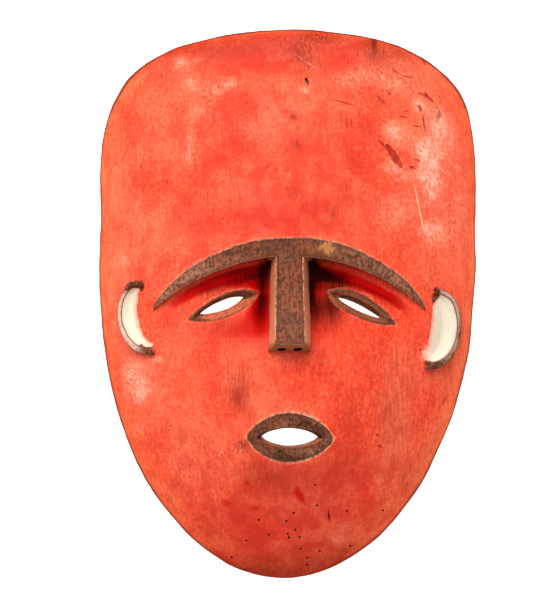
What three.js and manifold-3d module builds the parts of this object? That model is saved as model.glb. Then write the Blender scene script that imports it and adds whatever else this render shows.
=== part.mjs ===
import * as THREE from 'three';
import Module from 'manifold-3d';
import { mergeVertices } from 'three/addons/utils/BufferGeometryUtils.js';

// A face mask carved from one piece of wood: a tall vaulted face, hollow behind, with an arched brow, a block
// nose, slanting eye slits, an open mouth and raised ears. It lies on the flat back face of its edge, face up:
// +Z out of the face, +Y to the crown, +X to the right as one looks at the face. Millimetres and degrees.

// The blank: its outline, its vault and the hollow behind it
const WIDTH = 205; // across the temples
const HEIGHT = 300; // from chin to crown
const CROWN_HEIGHT = 66; // from the back face to the middle of the vault
const EDGE_HEIGHT = 8; // the straight side of the edge
const RIM_WIDTH = 11; // the flat back face of the edge
const WALL = 11; // through the wood in the middle of the forehead
const BROW_WALL = 13; // further wood left behind the brow and the eyes
const BROW_WALL_REACH = [0.31 * WIDTH, 0.115 * HEIGHT]; // how far that wood reaches across and up
const CHAMFER = 0.9; // worn edges of the brow and the nose
const SUNK = 6; // how far a raised feature reaches into the vault
const PAD_DRAFT = 0.04; // how much wider the foot of an eye rim or a lip is than its top, as a share

// Shares of the height or of half the width, measured from the middle of the mask
const HALF = WIDTH / 2;
const WIDEST_LEVEL = 0.047 * HEIGHT;
const SIDE_POWER = 1.97; // 2 is an ellipse's side, more is squarer
const CROWN_POWER = 6.1;
const CHIN_POWER = 2;
const LEAN = 0.012; // sideways per unit of height: the crown leans to the right
const VAULT_POWER = 0.62; // 0.5 is an ellipse, 1 is a parabola
const FOREHEAD_SLOPE = 0.25; // how much lower the vault is at the crown

// The brow is a band between two arcs, and the sockets are carved below it
const FACE_MIDDLE = 0.011 * HALF; // brow and nose sit a little to the right
const BROW = {
  halfSpan: 0.708 * HALF, top: 0.1157 * HEIGHT, bottom: 0.0817 * HEIGHT,
  topRadius: 0.33 * HEIGHT, bottomRadius: 0.36 * HEIGHT, proud: 2.2, tipPower: 10,
};
const SOCKET = { depth: 13, halfSpan: 0.722 * HALF, fall: 0.2 * HEIGHT, start: 0.02 * HEIGHT };

// The nose is a tapered block that rises towards its tip
const NOSE = {
  tip: -0.07 * HEIGHT, rootHalfWidth: 6.9, tipHalfWidth: 9.2, rise: 15, sideDraft: 0.12, endDraft: 0.22,
  underBrow: 0.01 * HEIGHT, step: 0.5,
};
const NOSTRIL = { halfWidth: 2.5, halfHeight: 3.6, depth: 8, apart: 8.4, below: 13 };

// Each eye: a raised leaf with a slit through it. outer is the outline of the leaf, rim the edge of its hole
const EYE = {
  halfLength: 0.193 * HALF, halfWidth: 0.02 * HEIGHT, proud: 1.5, mound: 3,
  rimLength: 0.152 * HALF, rimWidth: 0.0128 * HEIGHT,
  slitLength: 0.122 * HALF, slitWidth: 0.0099 * HEIGHT, slitDepth: 4.5,
};
const EYES = [
  { x: -0.331 * HALF, y: -0.005 * HEIGHT, tilt: 21, skew: 0.2 },
  { x: 0.386 * HALF, y: -0.0067 * HEIGHT, tilt: -25.9, skew: -0.2 },
];
const MOUTH = {
  x: 0.014 * HALF, y: -0.235 * HEIGHT,
  halfLength: 0.224 * HALF, halfWidth: 0.045 * HEIGHT, proud: 2.6, mound: 3,
  rimLength: 0.172 * HALF, rimWidth: 0.018 * HEIGHT,
  slitLength: 0.148 * HALF, slitWidth: 0.0163 * HEIGHT, slitDepth: 4,
};

// Each ear: a C-shaped rim on a chord from its top end to its bottom end, with a scoop between rim and cheek
const EAR = {
  height: 10, band: 2.5, scoop: 3.2, endShare: 0.55, fullness: 0.8, cheekTop: 0.1, cheekBottom: 0.86,
};
const EARS = [
  {
    top: [-0.75 * HALF, 0.0417 * HEIGHT], bottom: [-0.688 * HALF, -0.0925 * HEIGHT],
    bulge: 0.163 * HALF, inner: 0.05 * HALF,
  },
  {
    top: [0.773 * HALF, 0.0267 * HEIGHT], bottom: [0.712 * HALF, -0.115 * HEIGHT],
    bulge: 0.167 * HALF, inner: 0.025 * HALF,
  },
];

// How finely the forms are faceted
const RING_POINTS = 72;
const FRONT_RINGS = 22;
const HOLLOW_RINGS = 10;
const FRONT_CROWDING = 0.55; // 0 spaces the rings evenly, 1 draws them together towards the edge
const HOLLOW_CROWDING = 0.7;
const BROW_SEGMENTS = 44;
const NOSE_SEGMENTS = 8;
const LEAF_POINTS = 40;
const NOSTRIL_POINTS = 20;
const EAR_SEGMENTS = 20;
const LEAF_POWER = 1.5; // 1 is an ellipse, more draws out pointed ends

const { abs, cos, exp, hypot, max, min, PI, sign, sin, sqrt } = Math;
const mix = THREE.MathUtils.lerp;
const smooth = (value, from, to) => THREE.MathUtils.smoothstep(value, from, to);

// 0 in the middle of the face, and 1 on an outline that lies inset inside the mask's edge
function level(x, y, inset) {
  const rise = y - WIDEST_LEVEL;
  const reach = HEIGHT / 2 - sign(rise) * WIDEST_LEVEL - inset;
  const across = abs(x - LEAN * y) / (HALF - inset);
  return across ** SIDE_POWER + abs(rise / reach) ** (rise > 0 ? CROWN_POWER : CHIN_POWER);
}

function vault(x, y, inset, height) {
  const crown = max(0, y - WIDEST_LEVEL) / (HEIGHT / 2 - WIDEST_LEVEL);
  return height * max(0, 1 - level(x, y, inset)) ** VAULT_POWER * (1 - FOREHEAD_SLOPE * crown ** 2);
}

// A soft hill of height 1 around a place, with the given reach along its own tilted axis and across it
function hill(x, y, place, alongReach, acrossReach) {
  const turn = THREE.MathUtils.degToRad(place.tilt ?? 0);
  const along = (x - place.x) * cos(turn) + (y - place.y) * sin(turn);
  const across = (y - place.y) * cos(turn) - (x - place.x) * sin(turn);
  return exp(-((along / alongReach) ** 2) - (across / acrossReach) ** 2);
}

// Height of an arc above its ends' level, at x from its middle
const arc = (x, crown, radius) => crown - radius + sqrt(max(0, radius ** 2 - x ** 2));

const browBottom = (x) => arc(x - FACE_MIDDLE, BROW.bottom, BROW.bottomRadius);

function socket(x, y) {
  const below = browBottom(x) - y;
  const fromNose = abs(x - FACE_MIDDLE) / SOCKET.halfSpan;
  const share = smooth(below, -SOCKET.start, 0) * (1 - smooth(below, 0, SOCKET.fall));
  return SOCKET.depth * share * max(0, 1 - fromNose ** 2);
}

// The carved face without its raised features, as a height over the back face
function face(x, y) {
  let z = EDGE_HEIGHT + vault(x, y, 0, CROWN_HEIGHT - EDGE_HEIGHT) - socket(x, y);
  for (const eye of EYES) z += EYE.mound * hill(x, y, eye, 1.1 * EYE.halfLength, 1.4 * EYE.halfWidth);
  return z + MOUTH.mound * hill(x, y, MOUTH, 1.7 * MOUTH.halfLength, 1.7 * MOUTH.halfWidth);
}

// The nose starts just under the surface of the brow
const NOSE_ROOT_TOP = face(FACE_MIDDLE, BROW.top) + BROW.proud - NOSE.step;

// The hollow follows the face, with more wood left behind the brow and the eyes
function hollow(x, y) {
  const behindEyes = { x: FACE_MIDDLE, y: 0.5 * BROW.bottom };
  const z = vault(x, y, RIM_WIDTH, CROWN_HEIGHT - WALL);
  return max(0, z - BROW_WALL * smooth(z, 0, 2 * BROW_WALL) * hill(x, y, behindEyes, ...BROW_WALL_REACH));
}

// Moves every vertex of a geometry to the place that a function gives it, and closes its seams
function shaped(geometry, place) {
  geometry.deleteAttribute('normal');
  geometry.deleteAttribute('uv');
  const points = geometry.attributes.position;
  for (let i = 0; i < points.count; i++) {
    points.setXYZ(i, ...place(points.getX(i), points.getY(i), points.getZ(i)));
  }
  return mergeVertices(geometry, 1e-4);
}

// Distance from the middle to the outline in a direction
function reachTo(angle, inset) {
  let low = 0;
  let high = hypot(WIDTH, HEIGHT);
  for (let i = 0; i < 50; i++) {
    const middle = (low + high) / 2;
    if (level(middle * cos(angle), WIDEST_LEVEL + middle * sin(angle), inset) < 1) low = middle;
    else high = middle;
  }
  return low;
}

// A round bowl, turned upside down, then pushed out to the mask's outline and up to the carved face
function blank() {
  const profile = [];
  for (let i = 0; i <= FRONT_RINGS; i++) {
    const share = i / FRONT_RINGS;
    profile.push(new THREE.Vector2(mix(share, sin((share * PI) / 2), FRONT_CROWDING), 2));
  }
  profile.push(new THREE.Vector2(1, 1));
  for (let i = HOLLOW_RINGS; i >= 0; i--) {
    const share = i / HOLLOW_RINGS;
    profile.push(new THREE.Vector2(mix(share, sin((share * PI) / 2), HOLLOW_CROWDING), 0));
  }
  return shaped(new THREE.LatheGeometry(profile, RING_POINTS), (u, layer, v) => {
    const inset = layer === 0 ? RIM_WIDTH : 0;
    const angle = Math.atan2(u, v);
    const reach = hypot(u, v) * reachTo(angle, inset);
    const x = reach * cos(angle);
    const y = WIDEST_LEVEL + reach * sin(angle);
    return [x, y, layer === 2 ? face(x, y) : layer === 0 ? hollow(x, y) : 0];
  });
}

// A band bent into an arch, with its upper surface a little proud of the forehead
function brow() {
  const almostWhole = 0.999; // leaves a narrow end face at each tip
  return shaped(new THREE.BoxGeometry(2, 1, 1, BROW_SEGMENTS, 3, 1), (along, across, up) => {
    const run = sin((along * PI) / 2) * almostWhole;
    const x = FACE_MIDDLE + BROW.halfSpan * run;
    const low = browBottom(x);
    const thick = (arc(x - FACE_MIDDLE, BROW.top, BROW.topRadius) - low) * sqrt(1 - run ** BROW.tipPower);
    const edge = min(CHAMFER, thick / 3);
    const draft = up < 0 ? -1 : 0;
    const y = low + [draft, edge, thick - edge, thick - draft][Math.round((across + 0.5) * 3)];
    if (up < 0) return [x, y, face(x, low + thick) - BROW.proud - SOCKET.depth];
    const worn = abs(across) > 0.4 ? edge : 0;
    return [x, y, face(x, low + thick) + BROW.proud - worn];
  });
}

// A tapered block with chamfered edges, sunk into the vault and run into the brow
function nose() {
  const root = BROW.bottom + NOSE.underBrow;
  return shaped(new THREE.BoxGeometry(1, 1, 1, 3, NOSE_SEGMENTS, 1), (across, along, up) => {
    const share = 0.5 - along;
    const top = NOSE_ROOT_TOP + share * NOSE.rise;
    const y = mix(root, NOSE.tip, share);
    const drop = up > 0 ? 0 : top - face(FACE_MIDDLE, y) + SUNK;
    const halfWidth = mix(NOSE.rootHalfWidth, NOSE.tipHalfWidth, share) + NOSE.sideDraft * drop;
    const column = Math.round((across + 0.5) * 3);
    const x = FACE_MIDDLE + [-halfWidth, CHAMFER - halfWidth, halfWidth - CHAMFER, halfWidth][column];
    const worn = up > 0 && (column === 0 || column === 3) ? CHAMFER : 0;
    return [x, y - (share === 1 ? NOSE.endDraft * drop : 0), top - drop - worn];
  });
}

// Two oval holes up into the end of the nose
function nostril(side) {
  const hole = new THREE.CylinderGeometry(1, 1, 2 * NOSTRIL.depth, NOSTRIL_POINTS);
  hole.scale(NOSTRIL.halfWidth, 1, NOSTRIL.halfHeight);
  const tipTop = NOSE_ROOT_TOP + NOSE.rise;
  hole.rotateX(Math.atan(NOSE.endDraft));
  const endFace = NOSE.tip - NOSE.endDraft * NOSTRIL.below;
  hole.translate(FACE_MIDDLE + (side * NOSTRIL.apart) / 2, endFace, tipTop - NOSTRIL.below);
  return shaped(hole, (x, y, z) => [x, y, z]);
}

// A point on a leaf outline with pointed ends, wider towards the end that skew favours
function leaf(place, u, v, halfLength, halfWidth) {
  const radius = hypot(u, v);
  const along = u * halfLength;
  if (radius === 0) return [place.x, place.y];
  const swell = 1 + (place.skew ?? 0) * (u / radius);
  const across = sign(v) * abs(v / radius) ** LEAF_POWER * radius * halfWidth * swell;
  const turn = THREE.MathUtils.degToRad(place.tilt ?? 0);
  return [place.x + along * cos(turn) - across * sin(turn), place.y + along * sin(turn) + across * cos(turn)];
}

// The raised rim around a hole, as a solid leaf
function rim(place, sizes) {
  return shaped(new THREE.CylinderGeometry(1 - PAD_DRAFT, 1 + PAD_DRAFT, 1, LEAF_POINTS), (u, up, v) => {
    const [x, y] = leaf(place, u, v, sizes.halfLength, sizes.halfWidth);
    return [x, y, face(x, y) + (up > 0 ? sizes.proud : -SUNK)];
  });
}

// What is cut out of it: a funnel from the rim's inner edge to a narrow slit, on through the wall
function slit(place, sizes) {
  return shaped(new THREE.CylinderGeometry(1, 1, 3, LEAF_POINTS, 3), (u, up, v) => {
    const halfLength = up > 0 ? sizes.rimLength : sizes.slitLength;
    const halfWidth = up > 0 ? sizes.rimWidth : sizes.slitWidth;
    const [x, y] = leaf(place, u, v, halfLength, halfWidth);
    const depth = [2 * CROWN_HEIGHT, sizes.slitDepth, -sizes.proud, -3 * SUNK][Math.round(up + 1.5)];
    return [x, y, face(x, y) - depth];
  });
}

function ear({ top, bottom, bulge, inner }) {
  const outwards = sign(top[0]);
  const chord = [bottom[0] - top[0], bottom[1] - top[1]];
  const out = [(-chord[1] / hypot(...chord)) * outwards, (chord[0] / hypot(...chord)) * outwards];
  const onChord = (share, offset) => top.map((start, axis) => start + share * chord[axis] + offset * out[axis]);
  const across = 5;
  return shaped(new THREE.BoxGeometry(2, 1, 1, EAR_SEGMENTS, across, 1), (along, side, up) => {
    const turn = ((along + 1) * PI) / 2;
    const share = (1 - cos(turn)) / 2;
    const outer = onChord(share, bulge * sin(turn) ** EAR.fullness);
    const cheek = onChord(mix(EAR.cheekTop, EAR.cheekBottom, share), inner * sin(turn));
    const width = hypot(outer[0] - cheek[0], outer[1] - cheek[1]);
    const step = (side + 0.5) * across;
    const band = min(EAR.band / width, 0.5);
    const s = step < 1 ? step * band : mix(band, 1, (step - 1) / (across - 1));
    const [x, y] = [mix(outer[0], cheek[0], s), mix(outer[1], cheek[1], s)];
    if (up < 0) return [x, y, face(x, y) - SUNK];
    const rimTop = face(...outer) + EAR.height * mix(EAR.endShare, 1, sin(turn));
    const inScoop = max(0, (s - band) / (1 - band));
    return [x, y, mix(rimTop, face(...cheek) - CHAMFER, inScoop) - EAR.scoop * sin(PI * inScoop) * sin(turn)];
  });
}

const wasm = await Module();
wasm.setup();

// A closed geometry as a solid, turned right side out where its shaping mirrored it
function solid(geometry) {
  const triVerts = Uint32Array.from(geometry.index.array);
  const vertProperties = Float32Array.from(geometry.attributes.position.array);
  const build = () => new wasm.Manifold(new wasm.Mesh({ numProp: 3, vertProperties, triVerts }));
  const first = build();
  if (first.volume() > 0) return first;
  for (let i = 0; i < triVerts.length; i += 3) [triVerts[i], triVerts[i + 1]] = [triVerts[i + 1], triVerts[i]];
  return build();
}

function carved() {
  const raised = [brow(), nose(), ...EYES.map((eye) => rim(eye, EYE)), rim(MOUTH, MOUTH), ...EARS.map(ear)];
  const cut = [...EYES.map((eye) => slit(eye, EYE)), slit(MOUTH, MOUTH), nostril(-1), nostril(1)];
  const whole = raised.reduce((sum, piece) => sum.add(solid(piece)), solid(blank()));
  return cut.reduce((rest, piece) => rest.subtract(solid(piece)), whole);
}

// The carved solid as a geometry, with its bounding box centred over the origin and its back face on it
function maskGeometry() {
  const mesh = carved().getMesh();
  const geometry = new THREE.BufferGeometry();
  geometry.setAttribute('position', new THREE.BufferAttribute(Float32Array.from(mesh.vertProperties), 3));
  geometry.setIndex(new THREE.BufferAttribute(Uint32Array.from(mesh.triVerts), 1));
  geometry.computeBoundingBox();
  const middle = geometry.boundingBox.getCenter(new THREE.Vector3());
  geometry.translate(-middle.x, -middle.y, -geometry.boundingBox.min.z);
  geometry.computeVertexNormals();
  return geometry;
}

const redPaint = new THREE.MeshStandardMaterial({ color: 0xe85a3c, roughness: 0.7, metalness: 0 });
const mask = new THREE.Mesh(maskGeometry(), redPaint);
mask.name = 'mask';

const group = new THREE.Group();
group.add(mask);

export default group;
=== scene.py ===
# %% [markdown]
# # A carved and painted face mask
#
# The real thing is one block of light wood: a tall vaulted face, hollowed out behind, with an arched brow,
# a block nose, slanting eye slits, an open mouth and two raised ears. It was painted red, the brow, nose,
# eyes and lips were stained brown, and the ears were rubbed with white clay. It lies face up, and the
# camera looks straight down on it.
#
# The file first loads the model of the solids, which gives the sizes. All lengths below are in
# millimetres, and MM turns them into Blender's metres.

# %% The frame and its sizes
import math

import bpy
import numpy as np
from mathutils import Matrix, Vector, noise


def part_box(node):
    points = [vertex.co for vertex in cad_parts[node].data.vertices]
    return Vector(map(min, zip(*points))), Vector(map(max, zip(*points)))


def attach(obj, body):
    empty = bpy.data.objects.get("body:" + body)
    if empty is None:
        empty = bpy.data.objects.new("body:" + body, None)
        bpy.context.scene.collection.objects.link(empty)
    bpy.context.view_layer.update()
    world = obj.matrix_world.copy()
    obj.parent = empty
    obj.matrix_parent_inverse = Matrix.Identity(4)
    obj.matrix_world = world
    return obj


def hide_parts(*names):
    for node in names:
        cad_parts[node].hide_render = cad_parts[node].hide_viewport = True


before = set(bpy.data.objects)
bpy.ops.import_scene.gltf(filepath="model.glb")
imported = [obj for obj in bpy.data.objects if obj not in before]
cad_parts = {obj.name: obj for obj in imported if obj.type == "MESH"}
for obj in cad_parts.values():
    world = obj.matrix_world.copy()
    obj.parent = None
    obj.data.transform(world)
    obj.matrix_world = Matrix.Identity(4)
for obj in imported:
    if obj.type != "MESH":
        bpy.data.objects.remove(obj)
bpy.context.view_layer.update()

MM = 0.001
low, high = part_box("mask")
WIDTH = (high.x - low.x) / MM
HEIGHT = (high.y - low.y) / MM
HALF = WIDTH / 2
print(f"the mask is {WIDTH:.0f} mm wide and {HEIGHT:.0f} mm tall")

# %% [markdown]
# ## The shape of the face
#
# A carver starts from an outline on the block and rounds everything off towards it. The same idea is
# written here as a function: `level` is 0 in the middle of the face and 1 on the outline, and the height
# of the wood follows from it. A drawn surface could be sculpted instead, but a function gives the same
# height to every piece that has to sit on the face.

# %% Outline and vault
CROWN_HEIGHT = 66
EDGE_HEIGHT = 8
RIM_WIDTH = 11
WALL = 11
BROW_WALL = 13
WIDEST_LEVEL = 0.047 * HEIGHT
SIDE_POWER = 1.97
CROWN_POWER = 6.1
CHIN_POWER = 2
LEAN = 0.012
VAULT_POWER = 0.62
FOREHEAD_SLOPE = 0.25


def smooth(value, start, end):
    share = np.clip((value - start) / (end - start), 0, 1)
    return share * share * (3 - 2 * share)


def mix(a, b, share):
    return a + (b - a) * share


def level(x, y, inset=0):
    rise = y - WIDEST_LEVEL
    above = rise > 0
    reach = HEIGHT / 2 - np.where(above, 1, -1) * WIDEST_LEVEL - inset
    across = np.abs(x - LEAN * y) / (HALF - inset)
    return across**SIDE_POWER + np.abs(rise / reach) ** np.where(above, CROWN_POWER, CHIN_POWER)


def vault(x, y, inset, height):
    crown = np.maximum(0, y - WIDEST_LEVEL) / (HEIGHT / 2 - WIDEST_LEVEL)
    bulge = np.maximum(0, 1 - level(x, y, inset)) ** VAULT_POWER
    return height * bulge * (1 - FOREHEAD_SLOPE * crown**2)


# %% [markdown]
# ## Brow, sockets and swellings
#
# The brow is a band between two arcs. Below it the sockets are scooped out, deepest beside the nose. The
# eyes and the mouth sit on low swellings, which `hill` makes.

# %% Forms carved into the vault
FACE_MIDDLE = 0.011 * HALF
BROW_HALF_SPAN = 0.708 * HALF
BROW_TOP = 0.1157 * HEIGHT
BROW_BOTTOM = 0.0817 * HEIGHT
BROW_TOP_RADIUS = 0.33 * HEIGHT
BROW_BOTTOM_RADIUS = 0.36 * HEIGHT
BROW_PROUD = 2.2
SOCKET_DEPTH = 13
SOCKET_HALF_SPAN = 0.722 * HALF
SOCKET_FALL = 0.2 * HEIGHT
SOCKET_START = 0.02 * HEIGHT
BEHIND_EYES = {"x": FACE_MIDDLE, "y": 0.5 * BROW_BOTTOM, "tilt": 0}
BEHIND_EYES_REACH = (0.31 * WIDTH, 0.115 * HEIGHT)

EYES = {
    "left": {
        "x": -0.331 * HALF, "y": -0.005 * HEIGHT, "tilt": math.radians(21), "skew": 0.2,
        "slit_shift": (-0.7, 0.5), "slit_half_height": 2.5,
    },
    "right": {
        "x": 0.386 * HALF, "y": -0.0067 * HEIGHT, "tilt": math.radians(-25.9), "skew": -0.2,
        "slit_shift": (-1.5, -0.2), "slit_half_height": 1.8,
    },
}
MOUTH = {
    "x": 0.014 * HALF, "y": -0.235 * HEIGHT, "tilt": 0, "skew": 0,
    "slit_shift": (-0.4, 0.2), "slit_half_height": 4.8,
}
EYE_SIZE = (0.193 * HALF, 0.02 * HEIGHT)
MOUTH_SIZE = (0.224 * HALF, 0.045 * HEIGHT)
SWELLING = 3
EYE_SWELLING_REACH = (1.1 * EYE_SIZE[0], 1.4 * EYE_SIZE[1])
MOUTH_SWELLING_REACH = (1.7 * MOUTH_SIZE[0], 1.7 * MOUTH_SIZE[1])


def turned(x, y, place):
    """Distances from a place, along its own tilted length and across it."""
    dx, dy = x - place["x"], y - place["y"]
    c, s = math.cos(place["tilt"]), math.sin(place["tilt"])
    return dx * c + dy * s, dy * c - dx * s


def hill(x, y, place, along_reach, across_reach):
    along, across = turned(x, y, place)
    return np.exp(-((along / along_reach) ** 2) - (across / across_reach) ** 2)


def arc(x, crown, radius):
    return crown - radius + np.sqrt(np.maximum(0, radius**2 - x**2))


def brow_bottom(x):
    return arc(x - FACE_MIDDLE, BROW_BOTTOM, BROW_BOTTOM_RADIUS)


def brow_top(x):
    return arc(x - FACE_MIDDLE, BROW_TOP, BROW_TOP_RADIUS)


def socket_share(x, y):
    below = brow_bottom(x) - y
    from_nose = np.abs(x - FACE_MIDDLE) / SOCKET_HALF_SPAN
    share = smooth(below, -SOCKET_START, 0) * (1 - smooth(below, 0, SOCKET_FALL))
    return share * np.maximum(0, 1 - from_nose**2)


def face(x, y):
    z = EDGE_HEIGHT + vault(x, y, 0, CROWN_HEIGHT - EDGE_HEIGHT) - SOCKET_DEPTH * socket_share(x, y)
    for eye in EYES.values():
        z = z + SWELLING * hill(x, y, eye, *EYE_SWELLING_REACH)
    return z + SWELLING * hill(x, y, MOUTH, *MOUTH_SWELLING_REACH)


def hollow(x, y):
    """The roof of the hollow; the wood is thicker behind the brow and the eyes."""
    z = vault(x, y, RIM_WIDTH, CROWN_HEIGHT - WALL)
    kept = hill(x, y, BEHIND_EYES, *BEHIND_EYES_REACH)
    return np.maximum(0, z - BROW_WALL * smooth(z, 0, 2 * BROW_WALL) * kept)


print(f"the brow is {float(face(0, BROW_TOP)):.0f} mm above the table")

# %% [markdown]
# ## Helpers for modelling
#
# Each form starts as a primitive, is cut into rows in edit mode, and then every vertex moves to the place
# that a function gives it. Forms are joined with Boolean modifiers, as glue and a chisel would.

# %% Modelling helpers
SOFT_EDGE = 0.9 * MM
SOFTENED_ABOVE = math.radians(50)
bpy.ops.object.select_all(action="DESELECT")
bpy.context.tool_settings.mesh_select_mode = (False, True, False)


def pick(*pieces):
    """Selects these pieces and no others; the first is the active one."""
    bpy.ops.object.select_all(action="DESELECT")
    for piece in pieces:
        piece.select_set(True)
    bpy.context.view_layer.objects.active = pieces[0]


def named(name):
    piece = bpy.context.object
    piece.name = name
    return piece


def points_of(piece):
    flat = np.zeros(3 * len(piece.data.vertices))
    piece.data.vertices.foreach_get("co", flat)
    return flat.reshape(-1, 3)


def move_points(piece, place):
    """Moves every vertex to the place, in millimetres, that place(x, y, z) gives it."""
    columns = place(*points_of(piece).T)
    points = np.stack(np.broadcast_arrays(*columns), axis=1) * MM
    piece.data.vertices.foreach_set("co", points.ravel())
    piece.data.update()


def in_edit_mode(piece, *steps):
    bpy.context.view_layer.objects.active = piece
    bpy.ops.object.mode_set(mode="EDIT")
    for step in steps:
        step()
    bpy.ops.object.mode_set(mode="OBJECT")


def cut_along(piece, axis, cuts):
    """Cuts a box into rows: only its edges along one axis are selected, then subdivided."""
    in_edit_mode(piece, lambda: bpy.ops.mesh.select_all(action="DESELECT"))
    points = points_of(piece)
    for edge in piece.data.edges:
        step = np.abs(points[edge.vertices[0]] - points[edge.vertices[1]])
        edge.select = bool(step.argmax() == axis)
    in_edit_mode(piece, lambda: bpy.ops.mesh.subdivide(number_cuts=cuts))


def face_outwards(piece):
    in_edit_mode(
        piece,
        lambda: bpy.ops.mesh.select_all(action="SELECT"),
        lambda: bpy.ops.mesh.normals_make_consistent(inside=False),
    )


def apply_modifier(piece, kind, **settings):
    pick(piece)
    modifier = piece.modifiers.new(kind.title(), kind)
    for name, value in settings.items():
        setattr(modifier, name, value)
    bpy.ops.object.modifier_apply(modifier=modifier.name)


def combine(whole, tool, operation):
    apply_modifier(whole, "BOOLEAN", operation=operation, object=tool, solver="MANIFOLD")
    bpy.data.objects.remove(tool)


def shape(piece, place):
    move_points(piece, place)
    face_outwards(piece)


def count_faces(step):
    print(f"{step} the mask has {len(mask.data.polygons)} faces")


def shaped_box(name, cuts, place):
    """A box cut into rows along x, y and z, then shaped."""
    bpy.ops.mesh.primitive_cube_add(size=2)
    box = named(name)
    for axis, number in enumerate(cuts):
        cut_along(box, axis, number)
    shape(box, place)
    return box


def soften(piece):
    limit = {"limit_method": "ANGLE", "angle_limit": SOFTENED_ABOVE}
    apply_modifier(piece, "BEVEL", width=SOFT_EDGE, segments=2, **limit)


# %% [markdown]
# ## The blank
#
# The hollow shell is a ball whose lower half is pushed up into its upper half. The rings from the top pole
# to the widest ring become the front, the next few turn round the edge, and the rest line the hollow.

# %% The blank
SEGMENTS = 380
FRONT_RINGS = 115
EDGE_RINGS = 8
RIM_RINGS = 4
HOLLOW_RINGS = 42
RINGS = FRONT_RINGS + EDGE_RINGS + RIM_RINGS + HOLLOW_RINGS
FRONT_CROWDING = 0.55
HOLLOW_CROWDING = 0.7
EDGE_ROUNDING = 2


def reach_to(angle, inset):
    """Distance from the middle to the outline, found by halving."""
    near = np.zeros_like(angle)
    far = np.full_like(angle, WIDTH + HEIGHT)
    for _ in range(50):
        middle = (near + far) / 2
        inside = level(middle * np.cos(angle), WIDEST_LEVEL + middle * np.sin(angle), inset) < 1
        near = np.where(inside, middle, near)
        far = np.where(inside, far, middle)
    return near


def blank_place(u, v, w):
    ring = np.arccos(np.clip(w, -1, 1)) / math.pi * RINGS
    angle = np.arctan2(v, u)
    front = np.clip(ring / FRONT_RINGS, 0, 1)
    edge = np.clip((ring - FRONT_RINGS) / EDGE_RINGS, 0, 1)
    rim = np.clip((ring - FRONT_RINGS - EDGE_RINGS) / RIM_RINGS, 0, 1)
    back = np.clip((ring - FRONT_RINGS - EDGE_RINGS - RIM_RINGS) / HOLLOW_RINGS, 0, 1)
    inset = mix(EDGE_ROUNDING * (1 - np.cos(edge * math.pi / 2)), RIM_WIDTH, rim)
    share = mix(front, np.sin(front * math.pi / 2), FRONT_CROWDING)
    back_share = mix(1 - back, np.sin((1 - back) * math.pi / 2), HOLLOW_CROWDING)
    reach = share * back_share * mix(reach_to(angle, 0), reach_to(angle, RIM_WIDTH), inset / RIM_WIDTH)
    x, y = reach * np.cos(angle), WIDEST_LEVEL + reach * np.sin(angle)
    side = EDGE_HEIGHT * (1 - np.sin(edge * math.pi / 2))
    z = np.where(edge > 0, side, face(x, y))
    return x, y, np.where(back > 0, hollow(x, y), z)


bpy.ops.mesh.primitive_uv_sphere_add(segments=SEGMENTS, ring_count=RINGS, radius=1)
mask = named("carved_mask")
move_points(mask, blank_place)
count_faces("as a blank")

# %% [markdown]
# ## The brow
#
# On the real mask the brow is a raised, flat-topped band. A long box is cut into rows and bent between the
# two arcs. Its edges are softened with a Bevel modifier before it is joined to the blank.

# %% The brow
BROW_CUTS = (120, 5, 7)
BROW_TIP_POWER = 10
ALMOST_WHOLE = 0.995


def brow_place(along, across, up):
    run = np.sin(along * math.pi / 2) * ALMOST_WHOLE
    x = FACE_MIDDLE + BROW_HALF_SPAN * run
    low_edge = brow_bottom(x)
    thick = (brow_top(x) - low_edge) * np.sqrt(1 - run**BROW_TIP_POWER)
    draft = np.where(up < 0, 1, 0) * across
    y = low_edge + thick * (across + 1) / 2 + draft
    crest = face(x, low_edge + thick)
    return x, y, mix(crest - BROW_PROUD - SOCKET_DEPTH, crest + BROW_PROUD, (up + 1) / 2)


brow = shaped_box("brow", BROW_CUTS, brow_place)
soften(brow)
combine(mask, brow, "UNION")
count_faces("with its brow")

# %% [markdown]
# ## The nose
#
# The nose is a block that starts under the brow, widens and rises towards its tip, and ends in a slanting
# face with two holes in it. It is a box with drafted sides, bevelled like the brow.

# %% The nose
NOSE_TIP = -0.07 * HEIGHT
NOSE_ROOT_HALF_WIDTH = 7.2
NOSE_TIP_HALF_WIDTH = 7.9
NOSE_RISE = 15
NOSE_SIDE_DRAFT = 0.18
NOSE_END_DRAFT = 0.22
NOSE_UNDER_BROW = 0.01 * HEIGHT
NOSE_STEP = 0.5
NOSE_CUTS = (11, 39, 11)
AT_TIP = 0.999
SUNK = 6

nose_root_top = float(face(FACE_MIDDLE, BROW_TOP)) + BROW_PROUD - NOSE_STEP


def nose_place(across, along, up):
    share = (1 - along) / 2
    y = mix(BROW_BOTTOM + NOSE_UNDER_BROW, NOSE_TIP, share)
    top = nose_root_top + share * NOSE_RISE
    drop = (1 - up) / 2 * (top - face(FACE_MIDDLE, y) + SUNK)
    half_width = mix(NOSE_ROOT_HALF_WIDTH, NOSE_TIP_HALF_WIDTH, share) + NOSE_SIDE_DRAFT * drop
    end = np.where(share > AT_TIP, NOSE_END_DRAFT * drop, 0)
    return FACE_MIDDLE + across * half_width, y - end, top - drop


nose = shaped_box("nose", NOSE_CUTS, nose_place)
soften(nose)
combine(mask, nose, "UNION")

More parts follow.
